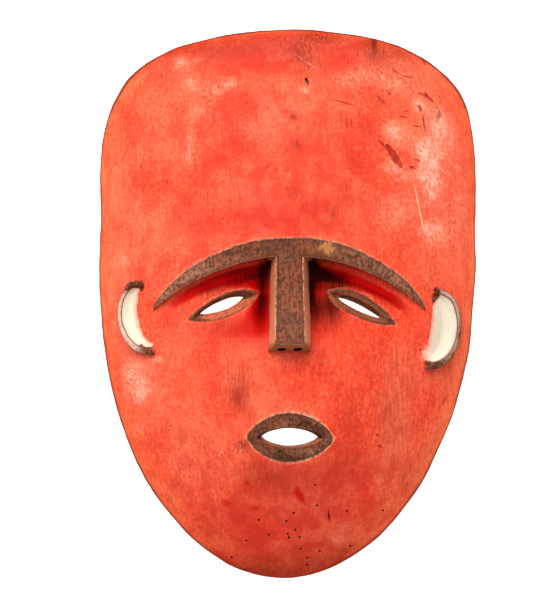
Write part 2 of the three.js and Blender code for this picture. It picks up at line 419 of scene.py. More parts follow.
NOSTRIL_HALF_SIZE = (2.4, 4.4)
NOSTRIL_DEPTH = 8
NOSTRILS_APART = 8.2
NOSTRIL_BELOW = 12
for side in (-1, 1):
    bpy.ops.mesh.primitive_cylinder_add(vertices=24, radius=1, depth=2)
    nostril = named("nostril")
    middle = (
        FACE_MIDDLE + side * NOSTRILS_APART / 2,
        NOSE_TIP - NOSE_END_DRAFT * NOSTRIL_BELOW,
        nose_root_top + NOSE_RISE - NOSTRIL_BELOW,
    )
    shape(nostril, lambda u, v, w: (
        middle[0] + u * NOSTRIL_HALF_SIZE[0],
        middle[1] + w * NOSTRIL_DEPTH,
        middle[2] + v * NOSTRIL_HALF_SIZE[1],
    ))
    combine(mask, nostril, "DIFFERENCE")
count_faces("with its nose")

# %% [markdown]
# ## Eyes and mouth
#
# Each is a raised leaf with a hole through it. The leaf is a ball pressed flat onto the face, and the hole
# is a cylinder that narrows from the rim's inner edge to the slit, like a funnel.

# %% Leaves and slits
LEAF_POWER = 1.5
EYE_PROUD = 1.5
MOUTH_PROUD = 2.6
EYE_RIM = (0.176 * HALF, 0.0163 * HEIGHT)
EYE_SLIT_HALF_LENGTH = 0.12 * HALF
MOUTH_RIM = (0.175 * HALF, 0.0195 * HEIGHT)
MOUTH_SLIT_HALF_LENGTH = 0.146 * HALF
EYE_SLIT_DEPTH = 2.2
MOUTH_SLIT_DEPTH = 4
LEAF_SIDES = 120
TINY = 1e-9
AT_MIDDLE = 0.001
END_ROW = 0.7


def leaf(place, u, v, size):
    radius = np.maximum(np.hypot(u, v), TINY)
    swell = 1 + place["skew"] * u / radius
    along = u * size[0]
    across = np.sign(v) * np.abs(v / radius) ** LEAF_POWER * radius * size[1] * swell
    c, s = math.cos(place["tilt"]), math.sin(place["tilt"])
    return place["x"] + along * c - across * s, place["y"] + along * s + across * c


def raised_leaf(name, place, size, proud, roundness):
    def leaf_place(u, v, w):
        radius = np.hypot(u, v)
        x, y = leaf(place, u, v, size)
        crown = proud * (1 - radius**roundness)
        return x, y, face(x, y) + np.where(w > AT_MIDDLE, crown, np.where(w < -AT_MIDDLE, -SUNK, -1))

    bpy.ops.mesh.primitive_uv_sphere_add(segments=LEAF_SIDES, ring_count=32, radius=1)
    piece = named(name)
    shape(piece, leaf_place)
    combine(mask, piece, "UNION")


def cut_slit(name, place, rim, half_length, proud, depth):
    shift = place["slit_shift"]
    slit_middle = dict(place, x=place["x"] + shift[0], y=place["y"] + shift[1])

    def slit_place(u, v, w):
        is_rim = w > 0
        x_rim, y_rim = leaf(place, u, v, rim)
        x_slit, y_slit = leaf(slit_middle, u, v, (half_length, place["slit_half_height"]))
        x, y = np.where(is_rim, x_rim, x_slit), np.where(is_rim, y_rim, y_slit)
        heights = np.select([w > END_ROW, w > 0, w > -END_ROW], [3 * SUNK, proud, -depth], -2 * CROWN_HEIGHT)
        return x, y, face(x, y) + heights

    bpy.ops.mesh.primitive_cylinder_add(vertices=LEAF_SIDES, radius=1, depth=2)
    piece = named(name)
    cut_along(piece, 2, 2)
    shape(piece, slit_place)
    combine(mask, piece, "DIFFERENCE")


for side, eye in EYES.items():
    raised_leaf(f"{side}_eye", eye, EYE_SIZE, EYE_PROUD, 8)
raised_leaf("lips", MOUTH, MOUTH_SIZE, MOUTH_PROUD, 4)
for side, eye in EYES.items():
    cut_slit(f"{side}_slit", eye, EYE_RIM, EYE_SLIT_HALF_LENGTH, EYE_PROUD, EYE_SLIT_DEPTH)
cut_slit("mouth_hole", MOUTH, MOUTH_RIM, MOUTH_SLIT_HALF_LENGTH, MOUTH_PROUD, MOUTH_SLIT_DEPTH)
count_faces("with eyes and mouth")

# %% [markdown]
# ## The ears
#
# Each ear is a raised C with its back to the edge of the mask. Inside the rim the wood is scooped down to
# the cheek, and that slope carries the white clay. A box is bent along the C, and its upper face takes the
# profile of rim and scoop.

# %% The ears
EAR_HEIGHT = 10
EAR_BAND = 2.5
EAR_END_BAND = 4.2
EAR_SCOOP = 1.8
EAR_END_SHARE = 0.55
EAR_FULLNESS = 0.8
EAR_CHEEK = (0.1, 0.86)
EAR_CUTS = (59, 19, 5)
EAR_RIM_STEP = 0.3
EAR_RIM_ROUNDING = 0.6
EAR_BELOW_CHEEK = 0.9
EARS = {
    "left": {
        "top": (-0.75 * HALF, 0.0417 * HEIGHT), "bottom": (-0.688 * HALF, -0.088 * HEIGHT),
        "bulge": 0.163 * HALF, "inner": 0.05 * HALF,
    },
    "right": {
        "top": (0.773 * HALF, 0.0267 * HEIGHT), "bottom": (0.712 * HALF, -0.115 * HEIGHT),
        "bulge": 0.167 * HALF, "inner": -0.004 * HALF,
    },
}


def ear_lines(ear, turn):
    """The outer line of an ear's rim, and the line where its scoop meets the cheek."""
    top, bottom = np.array(ear["top"]), np.array(ear["bottom"])
    chord = bottom - top
    out = np.array([-chord[1], chord[0]]) / np.hypot(*chord) * np.sign(top[0])
    share = ((1 - np.cos(turn)) / 2)[:, None]
    bow = np.maximum(np.sin(turn), 0)[:, None]
    outer = top + share * chord + ear["bulge"] * bow**EAR_FULLNESS * out
    cheek = top + mix(EAR_CHEEK[0], EAR_CHEEK[1], share) * chord + ear["inner"] * bow * out
    band = mix(EAR_BAND, EAR_END_BAND, share[:, 0] ** 4)
    return outer, cheek, bow[:, 0], band


def ear_place(ear, along, side, up):
    outer, cheek, bow, band = ear_lines(ear, (along + 1) * math.pi / 2)
    width = np.hypot(*(outer - cheek).T)
    band = np.minimum(band / width, 0.5)
    step = (side + 1) / 2
    on_rim = step < EAR_RIM_STEP
    in_rim = step / EAR_RIM_STEP
    share = np.where(on_rim, in_rim * band, mix(band, 1, (step - EAR_RIM_STEP) / (1 - EAR_RIM_STEP)))
    x, y = mix(outer.T, cheek.T, share)
    rim_top = face(*outer.T) + EAR_HEIGHT * mix(EAR_END_SHARE, 1, bow)
    in_scoop = np.maximum(0, (share - band) / (1 - band))
    slope = mix(rim_top, face(*cheek.T) - EAR_BELOW_CHEEK, in_scoop)
    slope = slope - EAR_SCOOP * np.sin(math.pi * in_scoop) * bow
    rounded = EAR_RIM_ROUNDING * np.where(on_rim, np.abs(in_rim * 2 - 1) ** 4, 0)
    return x, y, mix(face(x, y) - SUNK, slope - rounded, (up + 1) / 2)


for side, ear in EARS.items():
    piece = shaped_box(f"{side}_ear", EAR_CUTS, lambda *place, ear=ear: ear_place(ear, *place))
    combine(mask, piece, "UNION")
count_faces("with ears")

# %% [markdown]
# ## Where the marks of age are
#
# Cracks, gouges and worm holes are what make this mask this one. Their places are read off the photograph
# in its pixels, and `from_photo` follows the line of sight down to the carved face. So the camera's numbers
# come first, and every mark still sits on the wood.

# %% From the photograph to the face
PHOTO = (533, 616)
MASK_CENTRE = (286.75, 304)
MASK_PIXELS_TALL = 548.5
CAMERA_HEIGHT = 1400
OUTLINE_HEIGHT = 8

mm_per_pixel = HEIGHT / MASK_PIXELS_TALL
camera_x = (PHOTO[0] / 2 - MASK_CENTRE[0]) * mm_per_pixel
camera_y = -(PHOTO[1] / 2 - MASK_CENTRE[1]) * mm_per_pixel


def from_photo(column, row):
    """The place on the face, in millimetres, that a pixel of the photograph shows."""
    x = y = 0.0
    for _ in range(4):
        size = mm_per_pixel * (CAMERA_HEIGHT - float(face(x, y))) / (CAMERA_HEIGHT - OUTLINE_HEIGHT)
        x = camera_x + (column - PHOTO[0] / 2) * size
        y = camera_y - (row - PHOTO[1] / 2) * size
    return x, y


# %% [markdown]
# ## Gouges, cracks and worm holes
#
# A slip of the gouge leaves a boat-shaped groove. The cutter is a ball stretched between two places and
# laid along the face, and a crack is the same boat made thin. Worm holes are short cylinders. Cutters that
# don't touch each other are joined, so that one Boolean cuts them all.

# %% Grooves and holes
# Each groove runs from one pixel of the photograph to another, and has a width and a depth in millimetres.
GOUGES = [
    ((374.8, 18), (374.2, 60), 3.2, 2.4), ((419, 50), (425.5, 65), 1.5, 1.4),
    ((386.5, 143), (403, 169), 3.8, 1.9), ((377, 95.5), (386, 104.5), 2.6, 0.8),
    ((424, 92.5), (435, 103), 1.5, 1.1), ((419, 92), (422.5, 97), 1.1, 0.9),
    ((440.8, 110.5), (437, 124), 3.0, 0.6), ((392.5, 69.5), (400, 75.2), 1.2, 0.7),
    ((413.5, 159), (421, 162), 1.2, 0.7), ((409, 166.5), (416.5, 169.5), 1.4, 0.9),
    ((398, 116), (407, 118.6), 1.2, 0.7), ((411.5, 125.4), (421, 129), 1.3, 0.7),
    ((402, 112.6), (410, 111), 0.9, 0.6),
]
FINE_CRACKS = [
    ((401, 75.4), (416, 79.6), 0.8, 0.6), ((330.5, 100), (358, 107.2), 1.0, 0.7),
    ((359, 109), (359.5, 121), 0.9, 0.5), ((347, 117.5), (347, 130), 0.6, 0.7),
    ((351.4, 119), (351.4, 129), 0.6, 0.6), ((422.4, 115), (425.6, 133), 1.0, 1.1),
    ((419.3, 105), (421.8, 113.4), 1.8, 1.2), ((383.6, 49.5), (383.3, 56.5), 0.7, 0.7),
    ((398.2, 58.5), (397.7, 63), 0.6, 0.6), ((305.5, 77.6), (308.4, 84.4), 1.8, 4.2),
    ((207.9, 179.5), (208, 208.5), 0.6, 0.6), ((213, 208.5), (213.2, 213.5), 0.7, 0.7),
    ((223.3, 217), (223.4, 221), 0.7, 0.6), ((287.6, 164.5), (287.8, 175.5), 0.7, 0.6),
    ((121.4, 108.5), (121.4, 113.5), 0.8, 0.7), ((136.3, 110.6), (136.3, 115), 0.8, 0.6),
    ((141.6, 163.5), (141.6, 169.5), 0.9, 0.8), ((149.4, 170.5), (149.4, 176.5), 0.7, 0.6),
    ((167.4, 180), (167.4, 185.5), 0.8, 0.7), ((151.7, 192), (151.7, 197.5), 0.7, 0.6),
    ((266.9, 164.5), (266.9, 169.5), 0.8, 0.7), ((286.8, 186), (286.8, 191.5), 0.7, 0.6),
    ((381.4, 89.6), (382.6, 92.2), 0.9, 0.6), ((388.6, 91.5), (390.8, 95.8), 1.2, 0.8),
    ((327.2, 510.5), (328.6, 522), 1.0, 2.2), ((297.6, 540.6), (302.4, 541.4), 0.7, 1.6),
    ((245.4, 479.5), (248.6, 486.5), 1.0, 0.4), ((224.5, 500.5), (229.5, 505), 1.0, 0.4),
    ((249.8, 508), (258.6, 508.8), 0.8, 0.4), ((225.5, 105.2), (226.2, 107.6), 0.9, 0.9),
    ((357.6, 49.5), (357.8, 60), 0.7, 0.6), ((347.8, 60), (348, 64), 0.6, 0.5),
    ((449, 393.5), (442.5, 404.5), 0.9, 0.5), ((442, 405.5), (436.5, 412), 1.0, 0.45),
    ((376.5, 433.5), (379.2, 435.8), 1.2, 0.9), ((378, 445), (381.6, 448), 1.3, 0.9),
    ((379.2, 449), (377.6, 453.6), 0.7, 0.45), ((217.8, 453.8), (220.6, 455.2), 0.9, 0.6),
    ((226, 449.2), (231.6, 449.9), 0.7, 0.45), ((238.5, 441.6), (243, 443.4), 0.9, 0.6),
    ((297.2, 540.9), (301.6, 541.2), 0.9, 0.6), ((419.8, 348.8), (420, 351.8), 1.2, 0.7),
    ((411.8, 319.5), (411.6, 325.5), 1.2, 0.4),
]
CROSSING_CRACKS = [
    ((379.4, 139.4), (389, 150.6), 1.3, 1.3),
    ((421.5, 93.6), (431.5, 101), 1.0, 0.8),
]
PALE_SCRATCHES = [
    ((413.2, 183.5), (424.8, 232), 0.8, 0.2),
    ((293, 52.5), (318, 69), 0.5, 0.07),
    ((219.8, 452.8), (222.8, 450.6), 1.0, 0.15),
    ((233.6, 453.4), (237.6, 449.8), 0.6, 0.08),
    ((239.2, 451.4), (242.8, 448.8), 0.6, 0.08),
]
SCRATCH_FULLY_PALE = 0.2
WORM_HOLES = [
    (259.1, 519.9), (246.3, 540.5), (231.8, 557.4), (245.1, 569.9), (293.7, 512.5), (286.6, 520.9),
    (287.6, 533.3), (288.9, 536.7), (300, 536.5), (300.3, 547.8), (316.1, 505.7), (346.3, 511.2),
    (350.1, 546.7), (320, 550.7), (307.3, 556.9), (307.3, 564), (315.5, 484.9), (383.1, 510.8),
    (295.3, 528.9), (269, 534.4), (231.5, 566.6),
]
WORM_HOLE_RADIUS = 0.62
WORM_HOLE_DEPTH = 4
NICKS_IN_BROW = [
    ((207.5, 258), (213, 254.6), 1.3, 1.0),
    ((195.5, 281.5), (201.5, 279), 1.2, 0.9),
    ((356, 283.4), (361, 285.2), 1.1, 0.8),
]

CUTTER_WAVER = 2.2
CUTTER_SHAKE = 0.7


def groove_cutter(groove, proud=0):
    """A ball stretched along a groove; noise shakes it so that no two grooves look alike."""
    start, end, width, depth = groove
    (x0, y0), (x1, y1) = from_photo(*start), from_photo(*end)
    length = math.hypot(x1 - x0, y1 - y0)
    sideways = ((y0 - y1) / length * width / 2, (x1 - x0) / length * width / 2)

    def place(u, v, w):
        waver = [
            noise.noise(Vector((x0 + along * length / 2, across, y0)) / CUTTER_WAVER)
            for along, across in zip(u, np.sign(v))
        ]
        v = v + CUTTER_SHAKE * np.array(waver) * (1 - np.abs(u))
        x = (x0 + x1) / 2 + u * (x1 - x0) / 2 + v * sideways[0]
        y = (y0 + y1) / 2 + u * (y1 - y0) / 2 + v * sideways[1]
        return x, y, face(x, y) + proud + w * depth

    bpy.ops.mesh.primitive_uv_sphere_add(segments=28, ring_count=10, radius=1)
    cutter = named("groove")
    move_points(cutter, place)
    return cutter


def hole_cutter(column, row):
    x, y = from_photo(column, row)
    top = float(face(x, y))
    bpy.ops.mesh.primitive_cylinder_add(vertices=12, radius=1, depth=2)
    cutter = named("worm_hole")
    move_points(cutter, lambda u, v, w: (
        x + u * WORM_HOLE_RADIUS, y + v * WORM_HOLE_RADIUS, top + w * WORM_HOLE_DEPTH,
    ))
    return cutter


def cut_all(cutters):
    pick(*cutters)
    bpy.ops.object.join()
    face_outwards(cutters[0])
    combine(mask, cutters[0], "DIFFERENCE")


cut_all(
    [groove_cutter(groove) for groove in GOUGES + FINE_CRACKS + PALE_SCRATCHES]
    + [hole_cutter(*hole) for hole in WORM_HOLES]
)
cut_all([groove_cutter(groove) for groove in CROSSING_CRACKS])
cut_all([groove_cutter(groove, BROW_PROUD) for groove in NICKS_IN_BROW])
count_faces("with its marks of age")

# %% [markdown]
# ## What the finish needs to know
#
# The paint follows the carving: stain on the brow, nose, eyelids and lips, clay in the ears, dirt and painted
# shade in the cuts. Masks could be painted by hand, but here every vertex is told how far, in millimetres, it
# lies inside each painted form. A distance changes evenly across a face, so the shader can draw a sharp edge
# anywhere along it, also between two vertices.

# %% Distances from the edges of forms
points = points_of(mask) / MM
x, y, z = points.T
surface = face(x, y)
under_surface = surface - z


def brow_distance(x, y):
    """Millimetres inside the brow's band, negative outside it."""
    run = np.clip((x - FACE_MIDDLE) / BROW_HALF_SPAN, -1, 1)
    steepness = np.sqrt(1 - (run * BROW_HALF_SPAN / BROW_BOTTOM_RADIUS) ** 2)
    low_edge = brow_bottom(x)
    thick = (brow_top(x) - low_edge) * np.sqrt(1 - run**BROW_TIP_POWER)
    within = np.minimum(y - low_edge, low_edge + thick - y) * steepness
    return np.minimum(within, BROW_HALF_SPAN - np.abs(x - FACE_MIDDLE))


def nose_distance(x, y):
    """Millimetres inside the top face of the nose, negative outside it."""
    root = BROW_BOTTOM + NOSE_UNDER_BROW
    share = np.clip((root - y) / (root - NOSE_TIP), 0, 1)
    half_width = mix(NOSE_ROOT_HALF_WIDTH, NOSE_TIP_HALF_WIDTH, share)
    sides = half_width - np.abs(x - FACE_MIDDLE)
    return np.minimum(sides, np.minimum(y - NOSE_TIP, root + 1 - y))


def leaf_distance(x, y, place, size):
    """Millimetres inside a leaf-shaped outline, negative outside it."""
    along, across = turned(x, y, place)
    run = np.clip(along / size[0], -1, 1)
    half_height = size[1] * (1 - run**2) ** (LEAF_POWER / 2) * (1 + place["skew"] * run)
    return np.minimum(half_height - np.abs(across), size[0] - np.abs(along))


def distance_to_line(x, y, line):
    """Millimetres to a row of points joined by straight stretches."""
    nearest = np.full(len(x), np.inf)
    for (x0, y0), (x1, y1) in zip(line[:-1], line[1:]):
        dx, dy = x1 - x0, y1 - y0
        share = np.clip(((x - x0) * dx + (y - y0) * dy) / (dx * dx + dy * dy), 0, 1)
        nearest = np.minimum(nearest, np.hypot(x - x0 - share * dx, y - y0 - share * dy))
    return nearest


def is_inside(x, y, outline):
    """Whether a point lies inside a closed outline: it crosses an odd number of its sides."""
    inside = np.zeros(len(x), dtype=bool)
    for (x0, y0), (x1, y1) in zip(outline, np.roll(outline, -1, axis=0)):
        spans = (y0 > y) != (y1 > y)
        crossing = x0 + (y - y0) * (x1 - x0) / (y1 - y0 if y1 != y0 else TINY)
        inside ^= spans & (x < crossing)
    return inside

CLAY_FADE = 0.22


def ear_distances(x, y, ear):
    """Millimetres inside the rim and inside the scoop of an ear."""
    outer, cheek, _, bands = ear_lines(ear, np.linspace(0, math.pi, 61))
    inside = is_inside(x, y, np.concatenate([outer, cheek[::-1]]))
    from_outer = distance_to_line(x, y, outer)
    from_cheek = distance_to_line(x, y, cheek)
    outside = -np.minimum(from_outer, from_cheek)
    band = np.interp(-y, -outer[:, 1], bands)
    rim = np.where(inside, np.minimum(from_outer, band - from_outer), outside)
    scoop = np.where(inside, np.minimum(from_outer - band, CLAY_FADE * from_cheek), outside - EAR_BAND)
    return rim, scoop


# How much of the stain is rubbed off along the edges of each form, from 0 to 1: above and below on the
# brow, at the tip and at the sides of the nose, and right and left on the mouth.
BROW_WEAR = (0.42, 0.08)
NOSE_WEAR = (0.15, 0.65)
EYE_WEAR = 0.2
MOUTH_WEAR = (0.9, 0.6)
FAR = -20.0
stain = np.full(len(x), FAR)
worn = np.zeros(len(x))
on_upper_brow = y > (brow_bottom(x) + brow_top(x)) / 2
on_nose_tip = y < NOSE_TIP + 2
on_mouth_right = x > MOUTH["x"]
stained_forms = [
    (brow_distance(x, y), np.where(on_upper_brow, *BROW_WEAR)),
    (nose_distance(x, y), np.where(on_nose_tip, *NOSE_WEAR)),
    (leaf_distance(x, y, EYES["left"], EYE_SIZE), EYE_WEAR),
    (leaf_distance(x, y, EYES["right"], EYE_SIZE), EYE_WEAR),
    (leaf_distance(x, y, MOUTH, MOUTH_SIZE), np.where(on_mouth_right, *MOUTH_WEAR)),
]
for distance, wear in stained_forms:
    worn = np.where(distance > stain, wear, worn)
    stain = np.maximum(stain, distance)

EARS_BELOW_MIDDLE = 0.03 * HEIGHT
NEAR_EAR = 0.16 * HEIGHT
ear_rim = np.full(len(x), FAR)
clay = np.full(len(x), FAR)
for ear in EARS.values():
    near = np.nonzero(np.hypot(x - ear["top"][0], y + EARS_BELOW_MIDDLE) < NEAR_EAR)[0]
    rim, scoop = ear_distances(x[near], y[near], ear)
    ear_rim[near] = np.maximum(ear_rim[near], rim)
    clay[near] = np.maximum(clay[near], scoop)

# The clay of the right ear is smeared past the lower end of its scoop.
SMEAR_PIXEL = (430, 354)
SMEAR_REACH = (5, 4.2)
SMEAR_THICKNESS = 1.6
SMEAR_ENDS = 0.05
smear_x, smear_y = from_photo(*SMEAR_PIXEL)
smear = np.exp(-((x - smear_x) / SMEAR_REACH[0]) ** 2 - ((y - smear_y) / SMEAR_REACH[1]) ** 2)
clay = np.where(smear > SMEAR_ENDS, np.maximum(clay, SMEAR_THICKNESS * (smear - 0.5)), clay)
print(f"{np.sum(stain > 0)} vertices lie on stained wood and {np.sum(clay > 0)} on white clay")

# %% [markdown]
# ## Patches of wear, dirt, fresh paint and painted shade
#
# Patches have no sharp edge. Each is a soft spot at a place in the photograph, and the shader breaks them
# up into specks and streaks. A pale patch is paint rubbed thin, and the tall ones make the left and right
# edges paler. A brown one is dirt, on the crown and the chin also painted shade. A darker red one is painted
# shade on the crown, the chin, under the lips and beside the nose, and elsewhere darkens the red. A deep one
# is paint that was never rubbed, in the sockets also painted shade. A shadow one is painted shadow beside
# the nose, under the brow and over the eyes.

# %% Soft spots
# A spot is its pixel in the photograph, its reach across and along in millimetres, and its strength.
PALE_SPOTS = [
    (143, 392, 4, 6, 0.4), (134, 372, 8, 14, 0.42), (160, 374, 8, 10, 0.3), (140, 432, 6, 6, 0.42),
    (396, 62, 22, 9, 0.34), (405, 84, 24, 12, 0.15), (390, 222, 26, 16, 0.22), (110, 220, 8, 50, 0.3),
    (466, 200, 8, 50, 0.3), (448, 225, 12, 32, 0.1), (421, 359, 3, 6, 0.45), (444, 132, 10, 24, 0.42),
    (400, 200, 14, 12, 0.3), (150, 320, 7, 10, 0.3), (130, 384, 11, 24, 0.36), (428, 332, 4, 10, 0.3),
    (423, 298, 4, 8, 0.2), (375, 474, 4, 4, 0.28), (150, 400, 10, 14, 0.25), (182, 60, 3, 3, 0.22),
    (198, 60, 2, 2, 0.4), (189.5, 84, 3, 6, 0.28), (198, 85, 4, 5, 0.2), (215, 92, 5, 6, 0.35),
    (231, 84, 5, 4, 0.5), (180, 63, 6, 5, 0.34), (197, 112, 6, 6, 0.36), (166, 115, 6, 6, 0.3),
    (190, 142, 2.5, 10, 0.5), (188, 163, 4, 6, 0.34), (217, 133, 6, 5, 0.26), (249, 128, 4, 8, 0.34),
    (270, 126, 5, 7, 0.24), (278, 88, 6, 5, 0.3), (266, 199, 7, 5, 0.25), (159, 235, 4, 7, 0.45),
    (139, 251, 7, 3, 0.45), (203, 100, 26, 32, 0.24), (185, 70, 22, 12, 0.18), (270, 135, 16, 16, 0.16),
    (345, 85, 24, 12, 0.26), (341, 80, 10, 6, 0.24), (363, 74, 8, 5, 0.24), (304, 90, 3.5, 3, 0.7),
    (391, 127, 5, 4, 0.5), (397, 139, 8, 6, 0.38), (425, 150, 5, 5, 0.7), (427, 165, 5, 10, 0.85),
    (431, 184, 3.5, 8, 0.6), (390, 165, 6, 5, 0.5), (407, 176, 9, 4, 0.4), (438, 124, 5, 7, 0.42),
    (420, 107, 4, 4, 0.5), (405, 130, 22, 26, 0.32), (399, 84, 14, 6, 0.25), (429, 228, 5, 4, 0.4),
    (433, 240, 8, 6, 0.3), (336, 540, 5, 3, 0.6), (157, 359.5, 3, 1.3, 0.9), (445, 220, 14, 40, 0.3),
    (384, 220, 20, 16, 0.2), (347, 527, 8, 5, 0.5), (277, 543, 5, 3, 0.5), (349, 492, 6, 8, 0.4),
    (231, 478, 5, 8, 0.4), (290, 562, 5, 4, 0.4), (389, 505, 4, 6, 0.5), (382, 480, 5, 5, 0.4),
    (250, 474, 5, 4, 0.4), (360, 330, 8, 14, 0.25), (172, 350, 8, 8, 0.4), (158, 290, 6, 5, 0.5),
    (125, 262, 8, 6, 0.5),
]
# Darker red patches; on the crown, the chin, under the lips and beside the nose they are painted shade.
BRICK_SPOTS = [
    (300, 220, 32, 10, 0.4), (230, 220, 22, 9, 0.3), (220, 520, 16, 14, 0.3), (270, 190, 42, 32, 0.46),
    (285, 48, 64, 12, 0.5), (285, 528, 40, 20, 0.64), (285, 568, 50, 12, 0.6), (290, 476, 30, 10, 0.7),
    (238, 335, 22, 12, 0.5), (205, 110, 26, 26, 0.15), (360, 160, 16, 34, 0.25), (235, 110, 10, 14, 0.35),
    (262, 100, 16, 8, 0.3), (245, 65, 22, 8, 0.35), (165, 75, 10, 6, 0.4), (238, 404, 8, 10, 0.4),
    (345, 430, 14, 20, 0.3), (355, 485, 20, 16, 0.35), (205, 470, 16, 10, 0.25), (310, 345, 10, 10, 0.4),
    (214, 150, 8, 12, 0.25), (318, 130, 16, 12, 0.35), (390, 250, 24, 10, 0.15), (330, 310, 18, 14, 0.6),
    (195, 52, 34, 7, 0.55), (385, 52, 34, 8, 0.4),
]
# Brown patches of dirt; on the crown and the chin they are also painted shade.
BROWN_SPOTS = [
    (285, 42, 66, 9, 0.5), (310, 60, 9, 8, 0.35), (320, 36, 9, 3, 0.5), (300, 50, 6, 5, 0.3),
    (195, 58, 34, 8, 0.3), (395, 64, 34, 13, 0.17), (165, 90, 34, 22, 0.27), (285, 64, 50, 16, 0.14),
    (285, 474, 30, 10, 0.2), (385, 80, 32, 8, 0.34), (405, 90, 26, 22, 0.18), (238, 393, 7, 7, 0.45),
    (238, 371, 8, 9, 0.48), (355, 365, 42, 14, 0.14), (165, 325, 8, 7, 0.28), (242, 446, 3, 3, 0.6),
    (255, 470, 10, 6, 0.35), (390, 425, 8, 14, 0.3), (345, 455, 10, 12, 0.35), (404, 472, 12, 10, 0.3),
    (285, 540, 50, 26, 0.14), (280, 566, 46, 10, 0.32), (293, 117, 3.4, 2.3, 1.25),
    (295.5, 145, 3, 2.6, 1.0), (248.5, 115, 5, 4, 0.4), (240, 146, 6, 4, 0.45), (307, 90, 14, 9, 0.25),
    (300, 60, 12, 9, 0.25), (439, 117, 3, 6.5, 0.9), (373, 53, 4, 10, 0.7), (395, 60, 14, 8, 0.3),
    (165, 75, 8, 5, 0.35), (333.5, 214, 4, 3, 0.5), (296, 196, 9, 6, 0.3), (320, 38, 40, 4, 0.3),
    (200, 48, 30, 5, 0.25), (398, 52, 16, 5, 0.3), (366, 150, 5, 14, 0.3), (342, 165, 8, 16, 0.25),
    (355, 118, 6, 6, 0.35), (239, 402, 5, 7, 0.5), (247, 444, 5, 4, 0.5), (270, 482, 12, 10, 0.4),
    (350, 418, 8, 12, 0.25), (262, 572, 26, 6, 0.5), (350, 560, 18, 8, 0.45), (318, 492, 16, 14, 0.2),
    (185, 440, 14, 5, 0.25), (371, 350, 10, 12, 0.2), (234, 327, 18, 5, 0.25), (205, 322, 12, 4, 0.3),
    (399, 302, 4, 6, 0.2), (395, 400, 16, 24, 0.25), (330, 585, 30, 8, 0.5),
]
# Deep red patches; those in the sockets beside the nose are painted shade.
DEEP_SPOTS = [
    (238, 282, 14, 5, 0.4), (296.8, 488, 1.5, 2.2, 0.6), (297.5, 493, 2.6, 2.4, 0.8),
    (301, 498, 2.3, 2.4, 0.7), (303.5, 502, 1.6, 2, 0.45), (247, 482, 2, 4.5, 0.6), (227, 503, 4, 2.5, 0.6),
    (255, 508, 4, 1.6, 0.5), (411, 284, 8, 3, 0.3), (262, 308, 6, 12, 0.9), (252, 320, 14, 8, 0.45),
    (232, 330, 18, 6, 0.3), (160, 240, 10, 10, 0.2), (252, 48, 22, 7, 0.25), (245, 520, 12, 12, 0.3),
    (210, 560, 14, 5, 0.4), (255, 535, 8, 10, 0.25), (140, 281, 4, 3, 0.4), (286, 395, 30, 8, 0.2),
    (320, 350, 5, 8, 0.25), (235, 132, 10, 14, 0.12), (200, 128, 8, 6, 0.15),
]
SHADOW_SPOTS = [
    (271, 259, 3, 2.6, 0.95), (266, 266, 4.5, 3.5, 0.6), (264, 279, 3, 6, 0.3), (264, 296, 3, 7, 0.5),
    (259, 309, 5, 11, 0.45), (250, 273, 12, 4, 0.43), (261, 318, 5, 12, 0.28), (236, 281, 12, 4, 0.22),
    (309, 263, 5, 6, 0.95), (319, 270, 8.5, 4.5, 0.5), (336, 276, 10, 3, 0.3), (310, 290, 4, 14, 0.55),
    (319, 296, 9, 12, 0.24), (314, 322, 6, 14, 0.28), (329, 312, 10, 9, 0.3), (338, 298, 9, 7, 0.3),
    (209, 289, 10, 4, 0.22), (336, 316, 6, 13, 0.26), (340, 288, 6, 4, 0.16),
]
EAR_DARK_SPOTS = [
    (137, 283, 6, 4, 1.0), (127, 288, 2.5, 3, 0.7), (147, 350, 5, 3, 1.0), (154, 354, 4, 2.5, 0.8),
    (434, 292, 3, 5, 1.2), (430, 366, 5, 3, 1.1), (441, 363, 6, 4, 0.8), (451, 355, 5, 5, 0.65),
    (458, 341, 3.5, 9, 0.7), (461, 322, 3, 11, 0.6), (456, 303, 3, 6, 0.3),
]
EAR_PATCHES = [
    (136.5, 285, 5.2, 2.1, 1.0), (128, 287, 1.6, 2.2, 0.9), (142.5, 289, 1.0, 2.2, 0.9),
    (148, 350, 3, 1.6, 0.8), (142, 346, 1.4, 1.2, 0.7), (153, 354, 1.8, 1.1, 0.7),
    (435.8, 293.5, 2.2, 3.6, 1.3), (433.5, 300, 1, 1.8, 0.9), (427, 363, 3, 2, 0.7),
]
DUST_SPOTS = [
    (319.5, 421.5, 3.8, 2.1, 1.3), (305, 452, 16, 2.5, 0.5), (312, 452, 4, 2.2, 0.9), (262, 452, 7, 3, 0.4),
    (326, 443, 3, 4, 0.9), (288, 424, 10, 3, 0.3), (156, 296, 7, 7, 0.6), (168, 288, 9, 6, 0.4),
    (188, 276, 14, 6, 0.45), (208, 264, 12, 5, 0.2), (245, 262, 10, 3, 0.25), (352, 256, 14, 2.2, 0.5),
    (385, 270, 14, 5, 0.34), (404, 285, 7, 5, 0.36), (289, 310, 9, 34, 0.12),
]
